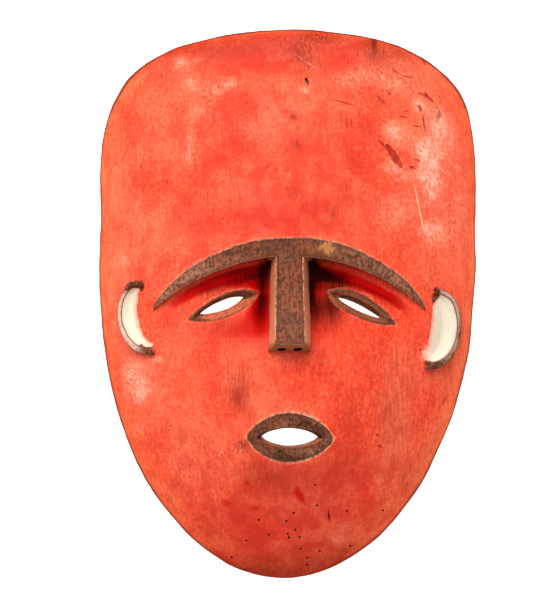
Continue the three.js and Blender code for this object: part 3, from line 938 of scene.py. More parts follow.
# Dark patches on the stain; the thin ones along the brow's edges are painted shade.
DARK_SPOTS = [
    (290, 418, 18, 3, 0.5), (304, 424.5, 6.5, 1.7, 1.3), (318, 453.6, 1.3, 1.8, 1.3), (280, 453, 2, 3, 0.7),
    (282, 415, 6, 1.6, 0.6), (287, 457, 4, 2, 0.8), (296, 459, 3, 1.6, 0.7), (318, 430, 3, 3, 0.6),
    (266, 432, 3, 3, 0.5), (327, 440, 4, 4, 0.4), (275, 452, 3, 3, 0.5), (250, 250, 14, 2, 0.3),
    (340, 258, 14, 1.6, 0.6), (232, 252, 12, 2, 0.4), (268, 242, 22, 1.4, 0.4), (209, 303, 5, 1.5, 0.5),
    (241, 293, 4, 1.6, 0.5), (365, 300, 5, 2, 0.4),
]
OCHRE_SPOTS = [(328.5, 250.5, 3.6, 3.2, 1.0), (325, 247, 3, 2.5, 0.7), (311, 250, 2.5, 5, 0.5)]


MOST_OF_A_SPOT = 1.3


def soft_spots(spots):
    total = np.zeros(len(x))
    for column, row, across, along, strength in spots:
        middle_x, middle_y = from_photo(column, row)
        total += strength * np.exp(-((x - middle_x) / across) ** 2 - ((y - middle_y) / along) ** 2)
    return np.minimum(total, MOST_OF_A_SPOT)


# %% [markdown]
# ## Shade, nose sides, slit walls and lids
#
# Some finishes follow the carving closer than a spot can. Under the brow lies a band of deeper red darkened
# by painted shade, and more painted shade reaches down over the eyes. The sides of the nose are pale, and
# the walls of the slits are lighter where they face the light.

# %% Shades that follow the carving
# Each band starts, is full, begins to fade and ends at so many millimetres below the brow. The band under
# the brow is darker and lies lower on the right, and the dark line along the crown's edge is widest in the
# middle.
UNDER_BROW = (0.8, 4.5, 6.5, 11.5)
UNDER_BROW_TIP = 20
UNDER_BROW_SHADE = (0.15, 0.3)
LOWER_ON_RIGHT = 1.4
OVER_EYES = (6, 10, 13, 18)
OVER_EYES_TIP = (3, 28)
OVER_EYES_SHADE = 0.3
SOCKET_NEAR_BROW = 0.4
SIDES_MEET = 4
LIDS_CLEAR = 0.85
LIDS_REACH = (1.05 * EYE_SIZE[0], 1.9 * EYE_SIZE[1])
CROWN_DARK_EDGE = (0.07, 0.035)
CROWN_MIDDLE = (24, 50)


def band(value, start, full, fading, end):
    return smooth(value, start, full) * (1 - smooth(value, fading, end))


below_brow = brow_bottom(x) - y
on_right = smooth(x, -SIDES_MEET, SIDES_MEET)
from_tip = BROW_HALF_SPAN - np.abs(x - FACE_MIDDLE)
# Painted shade: a band under the brow and one over the eyes darken the red.
under_brow = band(below_brow - LOWER_ON_RIGHT * on_right, *UNDER_BROW) * smooth(from_tip, 0, UNDER_BROW_TIP)
over_eyes = band(below_brow, *OVER_EYES) * smooth(from_tip, *OVER_EYES_TIP)
brow_shade = OVER_EYES_SHADE * over_eyes + mix(*UNDER_BROW_SHADE, on_right) * under_brow
crown_dark_edge = mix(*CROWN_DARK_EDGE, smooth(np.abs(x), *CROWN_MIDDLE))
in_socket = socket_share(x, y)
for eye in EYES.values():
    in_socket = in_socket - LIDS_CLEAR * hill(x, y, eye, *LIDS_REACH)
in_socket = in_socket * mix(SOCKET_NEAR_BROW, 1, smooth(below_brow, 1, 5))

RAISED = (0.5, 3)
NOSE_MARGIN = 0.4
NOSE_SIDE_REACH = (5, 0.25)
NOSE_END_REACH = (4, 6)
inside_nose = nose_distance(x, y)
from_nose_middle = np.abs(x - FACE_MIDDLE)
raised = smooth(-under_surface, *RAISED)
nose_side = raised * (inside_nose > -NOSE_SIDE_REACH[0]) * (inside_nose < NOSE_SIDE_REACH[1])
nose_side = nose_side * (from_nose_middle > NOSE_ROOT_HALF_WIDTH - NOSE_MARGIN) * (y > NOSE_TIP)
nose_end = raised * (y < NOSE_TIP + NOSE_MARGIN) * (y > NOSE_TIP - NOSE_END_REACH[1])
nose_end = nose_end * (from_nose_middle < NOSE_TIP_HALF_WIDTH + NOSE_END_REACH[0])

# The wall of a hole goes from dark at 0 through brown at 0.5 to orange at 1, above and below the hole.
HOLES = [
    (EYES["left"], EYE_RIM, 0.36, 0.86), (EYES["right"], EYE_RIM, 0.4, 0.66), (MOUTH, MOUTH_RIM, 0.12, 1.0),
]
WALL_TURNS = (-0.2, 0.8)
WALL_DARKENS = (0.78, 0.92)
in_slit = np.full(len(x), FAR)
wall = np.zeros(len(x))
for form, rim, above, below in HOLES:
    inside = leaf_distance(x, y, form, rim)
    in_slit = np.maximum(in_slit, inside)
    along, across = turned(x, y, form)
    from_middle = -along if form is MOUTH else np.abs(along)
    tone = mix(above, below, smooth(-across, *WALL_TURNS)) * (1 - smooth(from_middle / rim[0], *WALL_DARKENS))
    wall += (inside > -1) * tone

SCRATCH_REACH = 1.2
SCRATCH_DEPTH = 0.015
scratch = np.zeros(len(x))
for start, end, _, depth in PALE_SCRATCHES:
    from_scratch = distance_to_line(x, y, [from_photo(*start), from_photo(*end)])
    in_scratch = (from_scratch < SCRATCH_REACH) & (under_surface > SCRATCH_DEPTH)
    scratch = np.maximum(scratch, in_scratch * min(1, depth / SCRATCH_FULLY_PALE))

LOWER_LIDS = [(EYES["left"], 0.8), (EYES["right"], 0.3)]
LID_CORNER = (-0.75 * EYE_SIZE[0], -0.4 * EYE_SIZE[0])
LID_STARTS = (0.5, 2)
lids = np.zeros(len(x))
for eye, strength in LOWER_LIDS:
    along, across = turned(x, y, eye)
    outer_corner = smooth(-np.sign(eye["x"]) * along, *LID_CORNER)
    on_lid = leaf_distance(x, y, eye, EYE_SIZE) > -1
    lids += strength * outer_corner * smooth(-across, *LID_STARTS) * on_lid
print(f"{np.sum(in_slit > 0)} vertices lie inside the rims of eyes and mouth")

# %% Attributes
BARE_STARTS = 0.45 * EDGE_HEIGHT
SOCKET_GLAZE_AND_SHADE = 1.2
UNDER_BROW_GLAZE_AND_SHADE = 1.1
MOST = 1.2
EAR_PATCH_EDGE = (-2.4, -0.8)
CROWN = (0.3 * HEIGHT, 0.45 * HEIGHT)
is_cut = (in_slit < 0.5) & (under_surface < WORM_HOLE_DEPTH + 1)
# Deeper red in the sockets and under the brow: partly unrubbed paint, partly painted shade.
glaze_and_shade = np.maximum(SOCKET_GLAZE_AND_SHADE * in_socket, UNDER_BROW_GLAZE_AND_SHADE * under_brow)
finish_facts = {
    "stain": stain,
    "ear_rim": ear_rim,
    "clay": clay,
    "slit": in_slit,
    "cut": np.where(is_cut, under_surface, 0) * (1 - scratch),
    "scratch": scratch,
    "worn": worn,
    "nose_side": nose_side,
    "nose_end": nose_end,
    "wall": wall,
    "brick": soft_spots(BRICK_SPOTS),
    "lower_lid": lids,
    "bare": np.minimum(under_surface - BARE_STARTS, OUTLINE_HEIGHT),
    "glaze_and_shade": np.clip(glaze_and_shade + soft_spots(DEEP_SPOTS), 0, MOST),
    "shadow": soft_spots(SHADOW_SPOTS) + brow_shade,
    "pale": soft_spots(PALE_SPOTS),
    "grime_and_shade": soft_spots(BROWN_SPOTS),
    "ear_dark": soft_spots(EAR_DARK_SPOTS),
    "ear_patch": soft_spots(EAR_PATCHES) * smooth(np.maximum(ear_rim, clay), *EAR_PATCH_EDGE),
    "dust": soft_spots(DUST_SPOTS),
    "dark_stain_and_shade": soft_spots(DARK_SPOTS),
    "ochre": soft_spots(OCHRE_SPOTS),
    "outline": np.clip(level(x, y) + crown_dark_edge * smooth(y, *CROWN), 0, MOST),
}
for name, values in finish_facts.items():
    attribute = mask.data.attributes.new(name, "FLOAT", "POINT")
    attribute.data.foreach_set("value", values.astype(np.float32))
print(f"the mesh carries {len(finish_facts)} attributes for its finish")

# %% [markdown]
# ## The hand of the carver
#
# A hand-carved face is never even. After all the facts are stored, every vertex moves a little with a slow
# and a quicker noise, so the brow wavers and the cheeks are slightly flat in places. The hollow gets the
# overlapping scoops of an adze. The rim on the table stays flat.

# %% Unevenness and adze marks
SLOW_STEP = 26
SLOW_REACH = 0.75
QUICK_STEP = 7
QUICK_REACH = 0.22
ADZE_LENGTH = 26
ADZE_WIDTH = 10
ADZE_DEPTH = 0.9
ADZE_SHAKE = 0.4
ADZE_SPACING = (0.8 * ADZE_WIDTH, 0.7 * ADZE_LENGTH)
ADZE_SEED = 5
HOLLOW_STARTS = (WALL - 3, WALL - 1)
FLAT_BELOW = 0.5
FREE_ABOVE = 7
CARVING_SEED = 3


def carved_noise(step, reach):
    return np.array([noise.noise_vector(Vector(point / step)) for point in points]) * reach


def adze_scoops(x, y):
    """Depth of overlapping strokes whose middles lie on a shaken grid."""
    chance = np.random.default_rng(ADZE_SEED)
    depth = np.zeros(len(x))
    for column in np.arange(-WIDTH / 2, WIDTH / 2, ADZE_SPACING[0]):
        for row in np.arange(-HEIGHT / 2, HEIGHT / 2, ADZE_SPACING[1]):
            shake_x, shake_y = chance.uniform(-ADZE_SHAKE, ADZE_SHAKE, 2)
            across = (x - column - shake_x * ADZE_WIDTH) / ADZE_WIDTH
            along = (y - row - shake_y * ADZE_LENGTH) / ADZE_LENGTH
            depth = np.maximum(depth, ADZE_DEPTH * (1 - across**2 - along**2))
    return depth


noise.seed_set(CARVING_SEED)
move = carved_noise(SLOW_STEP, SLOW_REACH) + carved_noise(QUICK_STEP, QUICK_REACH)
move *= smooth(z, FLAT_BELOW, FREE_ABOVE)[:, None]
in_hollow = smooth(under_surface, *HOLLOW_STARTS) * smooth(z, FLAT_BELOW, FREE_ABOVE)
move[:, 2] += adze_scoops(x, y) * in_hollow
mask.data.vertices.foreach_set("co", ((points + move) * MM).ravel())
mask.data.update()
print(f"carving moved the surface by up to {np.abs(move).max():.1f} mm")

# %% [markdown]
# ## Shading
#
# Smooth shading up to a sharp angle keeps the vault soft and the carved edges crisp.

# %% Shading
pick(mask)
bpy.ops.object.shade_smooth_by_angle(angle=math.radians(38))

# %% [markdown]
# ## Helpers for shader nodes
#
# Nodes could be placed one by one in the editor. In code a few helpers keep them readable: each adds one
# node to the tree that its sockets belong to, feeds it with sockets or plain values, and hands back what it
# puts out.

# %% Node helpers


def seen(red, green, blue):
    """A colour as a screen shows it, 0 to 255, as the linear colour that shaders use."""
    return tuple(((channel / 255 + 0.055) / 1.055) ** 2.4 for channel in (red, green, blue)) + (1.0,)


def is_socket(value):
    return isinstance(value, bpy.types.NodeSocket)


def tree_of(values):
    return next(value.id_data for value in values if is_socket(value))


def feed(socket, value):
    if is_socket(value):
        socket.id_data.links.new(value, socket)
    else:
        socket.default_value = value


def feed_all(sockets, values):
    for socket, value in zip(sockets, values):
        feed(socket, value)


def feed_named(node, values):
    for name, value in values.items():
        feed(node.inputs[name], value)


def new_node(kind, **values):
    """Adds a node to the tree that its sockets belong to, and feeds its inputs by their names."""
    node = tree_of(values.values()).nodes.new(f"ShaderNode{kind}")
    feed_named(node, values)
    return node


def calculate(operation, *values, kind="Math"):
    node = tree_of(values).nodes.new(f"ShaderNode{kind}")
    node.operation = operation
    feed_all(node.inputs, values)
    return node.outputs[0]


def times(a, b):
    return calculate("MULTIPLY", a, b)


def ramp(value, start, end, at_start=0.0, at_end=1.0):
    """Turns a value smoothly from at_start to at_end while it goes from start to end."""
    limits = {"From Min": start, "From Max": end, "To Min": at_start, "To Max": at_end}
    node = new_node("MapRange", Value=value, **limits)
    node.interpolation_type = "SMOOTHSTEP"
    return node.outputs[0]


def uneven(share, pattern, at_low, at_high, low=0.0, high=1.0):
    """A share times at_low where a pattern is low, and times at_high where it is high."""
    return times(share, ramp(pattern, low, high, at_low, at_high))


def laid(colour, layers):
    """Lays colours over a first one, from the first of the list to the last, each where its share is 1."""
    for share, over in layers:
        node = new_node("Mix", Factor=share)
        node.data_type = "RGBA"
        feed_all([socket for socket in node.inputs if socket.type == "RGBA"], (colour, over))
        colour = next(socket for socket in node.outputs if socket.type == "RGBA")
    return colour


def stretch(vector, *scale):
    return new_node("Mapping", Vector=vector, Scale=scale).outputs[0]


def cloud(vector, size, detail=3.0):
    """Noise whose blots are about so many millimetres across; it stays near 0.5."""
    return new_node("TexNoise", Vector=vector, Scale=1 / (size * MM), Detail=detail).outputs[0]


def cells(vector, size):
    """Cells of about so many millimetres: the distance from their middles, and a colour for each."""
    node = new_node("TexVoronoi", Vector=vector, Scale=1 / (size * MM))
    return node.outputs["Distance"], node.outputs["Color"]


def fact(tree, name):
    node = tree.nodes.new("ShaderNodeAttribute")
    node.attribute_name = name
    return node.outputs["Fac"]


def new_group(name, inputs, outputs):
    group = bpy.data.node_groups.new(name, "ShaderNodeTree")
    for way, sockets in (("INPUT", inputs), ("OUTPUT", outputs)):
        for socket, kind in sockets.items():
            group.interface.new_socket(socket, in_out=way, socket_type=f"NodeSocket{kind}")
    return group, group.nodes.new("NodeGroupInput").outputs, group.nodes.new("NodeGroupOutput").inputs


def use_group(group, **values):
    node = tree_of(values.values()).nodes.new("ShaderNodeGroup")
    node.node_tree = group
    feed_named(node, values)
    return node.outputs


# %% [markdown]
# ## Grain, blotches, ragged edges and chalky specks
#
# Light wood has long fibres and open pores that run from crown to chin, and both show through the paint.
# Rubbed paint breaks up into blotches and pale specks, and a painted edge is never a clean line. These four
# effects are used by more than one finish, so each is a node group with its own inputs.

# %% Wood grain
wood_grain, given, wanted = new_group(
    "wood_grain", {"Vector": "Vector"}, {"Fibre": "Float", "Pores": "Float", "Rings": "Float"}
)
where = given["Vector"]
feed(wanted["Fibre"], cloud(stretch(where, 1, 0.07, 0.3), 0.9, 4.0))
feed(wanted["Rings"], cloud(stretch(where, 1, 0.09, 0.6), 9, 2.0))

pore_distance, pore_colour = cells(stretch(where, 1, 0.55, 0.7), 2.6)
pore_dots = ramp(pore_distance, 0.07, 0.2, 1.0, 0.0)
pore_luck = new_node("SeparateColor", Color=pore_colour).outputs[0]
pore_limit = ramp(cloud(where, 30, 2.0), 0.4, 0.6, 0.86, 0.5)
feed(wanted["Pores"], times(pore_dots, calculate("GREATER_THAN", pore_luck, pore_limit)))

# %% Blotches
blotches, given, wanted = new_group(
    "blotches", {"Vector": "Vector"}, {"Broad": "Float", "Middle": "Float", "Fine": "Float"}
)
BLOTS = [("Broad", 34, 3.0, 0.14), ("Middle", 9, 6.0, 0.19), ("Fine", 1.6, 4.0, 0.15)]
for socket, size, detail, spread in BLOTS:
    blot = cloud(stretch(given["Vector"], 1, 0.75, 1), size, detail)
    feed(wanted[socket], ramp(blot, 0.5 - spread, 0.5 + spread))

# %% Ragged edge
ragged_edge, given, wanted = new_group(
    "ragged_edge",
    {"Distance": "Float", "Vector": "Vector", "Raggedness": "Float", "Softness": "Float"},
    {"Mask": "Float"},
)
fray = calculate("SUBTRACT", cloud(given["Vector"], 2.2, 4.0), 0.5)
frayed = calculate("ADD", given["Distance"], times(fray, times(given["Raggedness"], 4.0)))
feed(wanted["Mask"], ramp(frayed, times(given["Softness"], -1.0), given["Softness"]))

# %% Chalky specks
chalky_specks, given, wanted = new_group(
    "chalky_specks", {"Vector": "Vector", "Cover": "Float", "Size": "Float"}, {"Mask": "Float"}
)
shrunk = calculate("DIVIDE", given["Vector"], given["Size"], kind="VectorMath")
speck_height = calculate("ADD", cloud(shrunk, 1.0, 3.0), cloud(shrunk, 5.0, 2.0))
speck_height = calculate("SUBTRACT", speck_height, times(cells(shrunk, 1.7)[0], 0.4))
threshold = ramp(given["Cover"], 0.0, 1.0, 1.12, 0.74)
feed(wanted["Mask"], ramp(speck_height, threshold, calculate("ADD", threshold, 0.34)))
print("node groups:", ", ".join(group.name for group in bpy.data.node_groups))

# %% [markdown]
# ## The bare wood
#
# The back and the rim were never painted. The wood there is light brown, darker along its rings and greyed
# by handling. The same wood shows where the paint ends on the rim, so its colour is a group too.

# %% Bare wood colour
WOOD_LIGHT = seen(188, 142, 98)
WOOD_DARK = seen(132, 88, 54)
WOOD_PORE = seen(62, 38, 24)
WOOD_GREYED = seen(142, 120, 98)

raw_wood, given, wanted = new_group("raw_wood", {"Vector": "Vector"}, {"Color": "Color", "Height": "Float"})
grain = use_group(wood_grain, Vector=given["Vector"])
blots = use_group(blotches, Vector=given["Vector"])
feed(wanted["Color"], laid(WOOD_LIGHT, [
    (ramp(grain["Rings"], 0.38, 0.62), WOOD_DARK),
    (ramp(grain["Fibre"], 0.45, 0.75, 0.0, 0.55), WOOD_DARK),
    (times(blots["Middle"], 0.35), WOOD_GREYED),
    (times(grain["Pores"], 0.8), WOOD_PORE),
]))
feed(wanted["Height"], calculate("SUBTRACT", grain["Fibre"], grain["Pores"]))


def finish_bump(shader, height, reach):
    """Raises the surface by a height from 0 to 1, times a reach in millimetres."""
    bump = new_node("Bump", Strength=1.0, Distance=reach * MM, Height=height)
    feed(shader.inputs["Normal"], bump.outputs[0])


def new_material(name):
    material = bpy.data.materials.new(name)
    material.use_nodes = True
    tree = material.node_tree
    place = tree.nodes.new("ShaderNodeTexCoord").outputs["Object"]
    return material, tree, tree.nodes["Principled BSDF"], place


def bare_wood():
    material, _, shader, place = new_material("bare_wood")
    wood = use_group(raw_wood, Vector=place)
    feed(shader.inputs["Base Color"], wood["Color"])
    feed(shader.inputs["Roughness"], ramp(wood["Height"], 0.0, 1.0, 0.85, 0.65))
    finish_bump(shader, wood["Height"], 0.25)
    return material


# %% [markdown]
# ## The red paint
#
# The red is a thin coat on open-grained wood. It is brightest on the forehead and darker on the crown and the
# chin, partly as painted shade. Under the brow and in the sockets it is deeper, partly where hands never
# rubbed it and partly as painted shade that turns near black beside the nose. It turns salmon where it
# wears thin and lighter orange towards the outline. The colours are laid over each other from the most
# common to the rarest, as a restorer would describe them.

# %% Red paint
RED = seen(246, 70, 42)
RED_SALMON = seen(252, 124, 88)
RED_PINK = seen(250, 182, 156)
RED_BRICK = seen(208, 50, 36)
RED_DEEP = seen(200, 8, 6)
RED_SHADOW = seen(34, 2, 1)
RED_ORANGE = seen(252, 130, 82)
RED_GRIME_AND_SHADE = seen(158, 50, 30)
OUTLINE_DARK = seen(104, 42, 26)
RED_STREAK = seen(186, 42, 26)
CHALK = seen(248, 196, 166)
PORE = seen(158, 34, 20)
CUT_WALL = seen(160, 50, 34)
CUT_FLOOR = seen(34, 10, 6)
NOSE_SIDE = seen(228, 141, 103)
NOSE_END = seen(148, 92, 58)


def red_paint(tree, place, grain, blots):
    fibre, middle, fine = grain["Fibre"], blots["Middle"], blots["Fine"]
    outline, pale, cut = (fact(tree, name) for name in ("outline", "pale", "cut"))
    brick = calculate("ADD", fact(tree, "brick"), ramp(middle, 0.2, 1.0, -0.08, 0.36))
    brick = calculate("MINIMUM", calculate("MAXIMUM", brick, 0.0), 0.9)
    specks = use_group(chalky_specks, Vector=place, Cover=pale, Size=1.2)["Mask"]
    return laid(RED, [
        (times(blots["Broad"], 0.6), RED_SALMON),
        (ramp(fine, 0.45, 1.0, 0.0, 0.34), RED_SALMON),
        (ramp(fine, 0.55, 0.0, 0.0, 0.3), RED_BRICK),
        # lighter orange towards the outline
        (ramp(outline, 0.72, 0.99, 0.0, 0.35), RED_ORANGE),
        (ramp(fibre, 0.5, 0.7, 0.0, 0.28), RED_STREAK),
        (ramp(fibre, 0.47, 0.3, 0.0, 0.28), RED_SALMON),
        # darker red patches, partly painted shade
        (brick, RED_BRICK),
        # a dark line along the outline, widest at the crown
        (ramp(outline, 0.962, 1.0, 0.0, 0.9), OUTLINE_DARK),
        # deeper red in the sockets and under the brow, partly painted shade
        (ramp(uneven(fact(tree, "glaze_and_shade"), middle, 1.0, 0.75), 0.05, 0.85), RED_DEEP),
        # brown patches of dirt, on the crown and chin also painted shade
        (uneven(fact(tree, "grime_and_shade"), fibre, 0.5, 1.0, 0.35, 0.6), RED_GRIME_AND_SHADE),
        (uneven(ramp(pale, 0.0, 1.0, 0.0, 0.7), fine, 0.4, 1.0), RED_SALMON),
        (uneven(ramp(pale, 0.35, 1.1, 0.0, 0.65), fine, 0.3, 1.0), RED_PINK),
        (uneven(specks, pale, 0.08, 0.55), CHALK),
        (times(grain["Pores"], 0.55), PORE),
        (times(fact(tree, "scratch"), 0.7), CHALK),
        (ramp(uneven(fact(tree, "shadow"), fibre, 0.93, 1.07, 0.35, 0.62), 0.02, 1.0), RED_SHADOW),
        # cut walls darken with dirt and painted shade, and deep down they turn near black as painted shade
        (uneven(ramp(cut, 0.05, 0.8, 0.0, 0.92), fibre, 0.6, 1.0, 0.36, 0.62), CUT_WALL),
        (ramp(cut, 1.3, 3.2), CUT_FLOOR),
    ])


# %% [markdown]
# ## The brown stain
#
# Brow, nose, eyelids and lips carry a dark brown stain. It soaked in unevenly, dust greys it towards the
# tips of the brow, and fine tool lines cross it from top to bottom. Along the edges of each form it is
# darker, as painted shade. One ochre patch on the brow has lost it.

# %% Brown stain
STAIN = seen(102, 48, 28)
DARK_STAIN_AND_SHADE = seen(56, 32, 20)
STAIN_RED = seen(140, 70, 44)
STAIN_DUST = seen(194, 138, 108)
OCHRE = seen(192, 126, 74)
LID_PINK = seen(232, 128, 88)
DUST_STARTS = 0.1 * HALF * MM
DUST_FULL = 0.62 * HALF * MM


def brown_stain(tree, place, blots):
    fine = blots["Fine"]
    tool_lines = cloud(stretch(place, 1, 0.14, 0.5), 0.7, 3.0)
    specks = use_group(chalky_specks, Vector=place, Cover=0.75, Size=0.6)["Mask"]
    dusty = ramp(calculate("ADD", specks, fine), 0.1, 1.2, 0.2, 1.15)
    from_middle = calculate("ABSOLUTE", new_node("SeparateXYZ", Vector=place).outputs["X"])
    dust = ramp(from_middle, DUST_STARTS, DUST_FULL, 0.07, 0.28)
    dust = calculate("ADD", dust, times(fact(tree, "dust"), 0.42))
    ochre = calculate("SUBTRACT", fact(tree, "ochre"), times(fine, 0.8))
    return laid(STAIN, [
        (blots["Middle"], STAIN_RED),
        (ramp(fine, 0.6, 0.0, 0.0, 0.6), DARK_STAIN_AND_SHADE),
        (ramp(tool_lines, 0.48, 0.64, 0.0, 0.75), DARK_STAIN_AND_SHADE),
        (times(dusty, dust), STAIN_DUST),
        # painted shade: the stain darkens near the edge of every stained form
        (times(ramp(fact(tree, "stain"), 0.5, 2.4, 0.6, 0.0), fine), DARK_STAIN_AND_SHADE),
        # dark patches of stain, along the brow's edges painted shade
        (uneven(fact(tree, "dark_stain_and_shade"), fine, 1.0, 0.5), DARK_STAIN_AND_SHADE),
        (uneven(fact(tree, "lower_lid"), fine, 0.95, 0.45), LID_PINK),
        (ramp(ochre, -0.1, 0.7, 0.0, 0.8), OCHRE),
    ])


# %% [markdown]
# ## The ears
#
# The scoop of each ear was rubbed with white clay, which is cream where it lies thick and slightly grey
# where it is thin. The rim is a thin pinkish wash, and dirt covers both ends of each ear. A dark line runs
# along the groove between rim and scoop, and a painted shadow lines the edges of the rim.

# %% White clay and rim wash
CLAY = seen(233, 219, 198)
CLAY_THIN = seen(206, 190, 156)
CLAY_PINK = seen(250, 206, 180)
RIM_WASH = seen(224, 184, 160)
RIM_GREY = seen(150, 110, 88)
RIM_DARK = seen(84, 46, 30)
RIM_BROWN = seen(150, 74, 52)


def white_clay(clay, blots):
    return laid(CLAY, [
        (times(blots["Middle"], 0.3), CLAY_THIN),
        (ramp(blots["Fine"], 0.6, 1.0, 0.0, 0.2), CLAY_THIN),
        (ramp(clay, 0.1, 0.9, 0.85, 0.0), CLAY_PINK),
    ])


def rim_wash(ear_dark, blots):
    return laid(RIM_WASH, [
        (ramp(blots["Fine"], 0.4, 1.0, 0.0, 0.5), RIM_GREY),
        (uneven(ear_dark, blots["Fine"], 1.1, 0.75), RIM_DARK),
    ])


# %% [markdown]
# ## Painted wood
#
# The finishes meet in one material, because their borders are ragged and thin lines of worn paint run along
# them. The stored distances say where each finish lies. Along every raised edge the stain is rubbed off in
# a thin pale line, and just outside it the red has a paler line too.

# %% Painted wood
WORN_LINE = seen(226, 176, 146)
SALMON_LINE = seen(250, 138, 100)
SLIT_DARK = seen(66, 22, 14)
SLIT_BROWN = seen(150, 86, 58)
SLIT_ORANGE = seen(224, 108, 74)


def line_mask(distance, middle, half_width):
    """A thin line along the places that lie a certain distance inside a form."""
    away = calculate("ABSOLUTE", calculate("SUBTRACT", distance, middle))
    return ramp(away, 0.3 * half_width, half_width, 1.0, 0.0)


def ragged(place, distance, raggedness, softness):
    """1 inside a painted form and 0 outside it, with a frayed border."""
    values = {"Distance": distance, "Vector": place, "Raggedness": raggedness, "Softness": softness}
    return use_group(ragged_edge, **values)["Mask"]


def slit_walls(wall, slit, fine):
    in_shade = ramp(wall, 0.5, 0.44)
    return laid(SLIT_DARK, [
        (ramp(wall, 0.0, 0.5), SLIT_BROWN),
        (uneven(ramp(wall, 0.5, 1.0), fine, 0.6, 1.0), SLIT_ORANGE),
        (ramp(fine, 0.6, 0.1, 0.0, 0.4), STAIN),
        (times(in_shade, ramp(slit, 1.5, 2.7, 0.0, 0.9)), SLIT_DARK),
    ])


def painted_wood():
    material, tree, shader, place = new_material("painted_wood")
    grain = use_group(wood_grain, Vector=place)
    blots = use_group(blotches, Vector=place)
    fine = blots["Fine"]
    stain, rim, clay, slit = (fact(tree, name) for name in ("stain", "ear_rim", "clay", "slit"))
    wear = uneven(fact(tree, "worn"), fine, 0.25, 1.0, 0.1, 0.8)
    rimmed = ragged(place, rim, 0.15, 0.3)
    clayed = ragged(place, clay, 0.3, 0.75)
    into_patch = times(calculate("SUBTRACT", fact(tree, "ear_patch"), 0.45), 4.0)
    colour = laid(red_paint(tree, place, grain, blots), [
        (times(line_mask(stain, -0.5, 0.8), wear), SALMON_LINE),
        (uneven(fact(tree, "nose_side"), fine, 0.75, 1.0), NOSE_SIDE),
        (uneven(fact(tree, "nose_end"), fine, 0.8, 1.0), NOSE_END),
        (ragged(place, stain, 0.55, 0.25), brown_stain(tree, place, blots)),
        (times(line_mask(stain, 0.25, 0.42), wear), WORN_LINE),
        (rimmed, rim_wash(fact(tree, "ear_dark"), blots)),
        # painted shadow along the edges of the rim
        (times(line_mask(rim, 0.0, 0.7), 0.6), RIM_DARK),
        (clayed, white_clay(clay, blots)),
        # a dark line along the groove between rim and scoop
        (times(times(line_mask(clay, -0.1, 0.6), rimmed), 0.85), RIM_DARK),
        (ragged(place, into_patch, 0.3, 0.5), laid(RIM_DARK, [(ramp(fine, 0.2, 1.0, 0.0, 0.8), RIM_BROWN)])),
        (ramp(slit, 0.15, 0.9, 0.0, 0.9), slit_walls(fact(tree, "wall"), slit, fine)),
        (ragged(place, fact(tree, "bare"), 1.0, 0.8), use_group(raw_wood, Vector=place)["Color"]),
        # nostrils painted near black, as painted shade
        (fact(tree, "nostril"), CUT_FLOOR),
    ])
    feed(shader.inputs["Base Color"], colour)

    rough = ramp(blots["Middle"], 0.0, 1.0, 0.52, 0.7)
    feed(shader.inputs["Roughness"], calculate("MAXIMUM", rough, times(clayed, 0.9)))
    dull = calculate("MAXIMUM", fact(tree, "shadow"), ramp(fact(tree, "outline"), 0.5, 0.95, 0.0, 0.5))
    feed(shader.inputs["Specular IOR Level"], ramp(dull, 0.0, 0.5, 0.08, 0.0))
    height = calculate("SUBTRACT", grain["Fibre"], grain["Pores"])
    finish_bump(shader, calculate("ADD", height, times(fine, 0.35)), 0.16)
    return material


mask.data.materials.clear()
mask.data.materials.append(painted_wood())
mask.data.materials.append(bare_wood())

# Inside a nostril the wood is painted near black, as painted shade. Faces well below the surface
# of the face, or turned down, are bare.
NOSTRIL_STARTS = 0.3
BACK_STARTS = 0.8 * OUTLINE_HEIGHT
FACING_DOWN = -0.9
nostril_faces = np.zeros(len(mask.data.polygons), dtype=np.float32)
is_back = np.zeros(len(mask.data.polygons), dtype=np.int32)
for polygon in mask.data.polygons:
    corners = list(polygon.vertices)
    middle = points[corners].mean(axis=0)
    drop = nose_root_top + NOSE_RISE - middle[2]
    inwards = middle[1] - NOSE_TIP + NOSE_END_DRAFT * drop
    nostril_faces[polygon.index] = (
        NOSTRIL_STARTS < inwards < NOSTRIL_DEPTH + 2
        and abs(abs(middle[0] - FACE_MIDDLE) - NOSTRILS_APART / 2) < NOSTRIL_HALF_SIZE[0]
        and abs(drop - NOSTRIL_BELOW) < NOSTRIL_HALF_SIZE[1]
    )
    is_back[polygon.index] = under_surface[corners].min() > BACK_STARTS or polygon.normal.z < FACING_DOWN
attribute = mask.data.attributes.new("nostril", "FLOAT", "FACE")
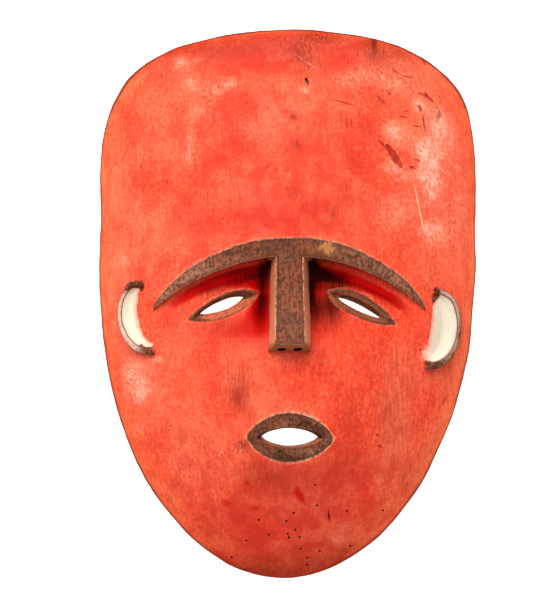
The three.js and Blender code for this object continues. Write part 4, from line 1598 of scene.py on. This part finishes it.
attribute.data.foreach_set("value", nostril_faces)
mask.data.polygons.foreach_set("material_index", is_back)
mask.data.update()
print(f"{is_back.sum()} faces of the mask are bare wood")

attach(mask, "root")
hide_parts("mask")

# %% [markdown]
# ## Floor, light and camera
#
# The floor is a pale table that glows a little, like a light table in a photographer's studio, so the
# background and the openings of the mask read white. The light is soft and comes mostly from beyond the
# crown. The camera looks straight down.

# %% Floor
bpy.ops.mesh.primitive_plane_add(size=6)
floor = named("floor")
floor_material = bpy.data.materials.new("light_table")
floor_material.use_nodes = True
feed_named(floor_material.node_tree.nodes["Principled BSDF"], {
    "Base Color": (0.9, 0.9, 0.9, 1), "Roughness": 0.9,
    "Emission Color": (1, 1, 1, 1), "Emission Strength": 1.0,
})
floor.data.materials.append(floor_material)

# %% Lights


def soft_light(name, position, size, power):
    """A square lamp that faces the middle of the mask; its size and place are in metres."""
    bpy.ops.object.light_add(type="AREA", location=position)
    light = named(name)
    light.data.shape = "SQUARE"
    light.data.size = size
    light.data.energy = power
    light.rotation_euler = (-Vector(position)).to_track_quat("-Z", "Y").to_euler()


soft_light("crown_softbox", (-0.3, 0.85, 1.6), 1.0, 37)
soft_light("overhead_softbox", (0.1, 0.1, 2.2), 1.6, 14)

world = bpy.data.worlds.new("studio")
bpy.context.scene.world = world
world.use_nodes = True
feed_named(world.node_tree.nodes["Background"], {"Color": (1, 1, 1, 1), "Strength": 0.2})
bpy.context.scene.view_settings.view_transform = "Standard"

# %% Camera
bpy.ops.object.camera_add(location=(camera_x * MM, camera_y * MM, CAMERA_HEIGHT * MM), rotation=(0, 0, 0))
camera = named("camera")
camera.data.sensor_fit = "VERTICAL"
half_view = PHOTO[1] / 2 * mm_per_pixel / (CAMERA_HEIGHT - OUTLINE_HEIGHT)
camera.data.lens = camera.data.sensor_height / 2 / half_view
bpy.context.scene.camera = camera

# %% Sizes and the end
triangles = sum(len(polygon.vertices) - 2 for polygon in mask.data.polygons)
print(f"the finished mask has {triangles} triangles")
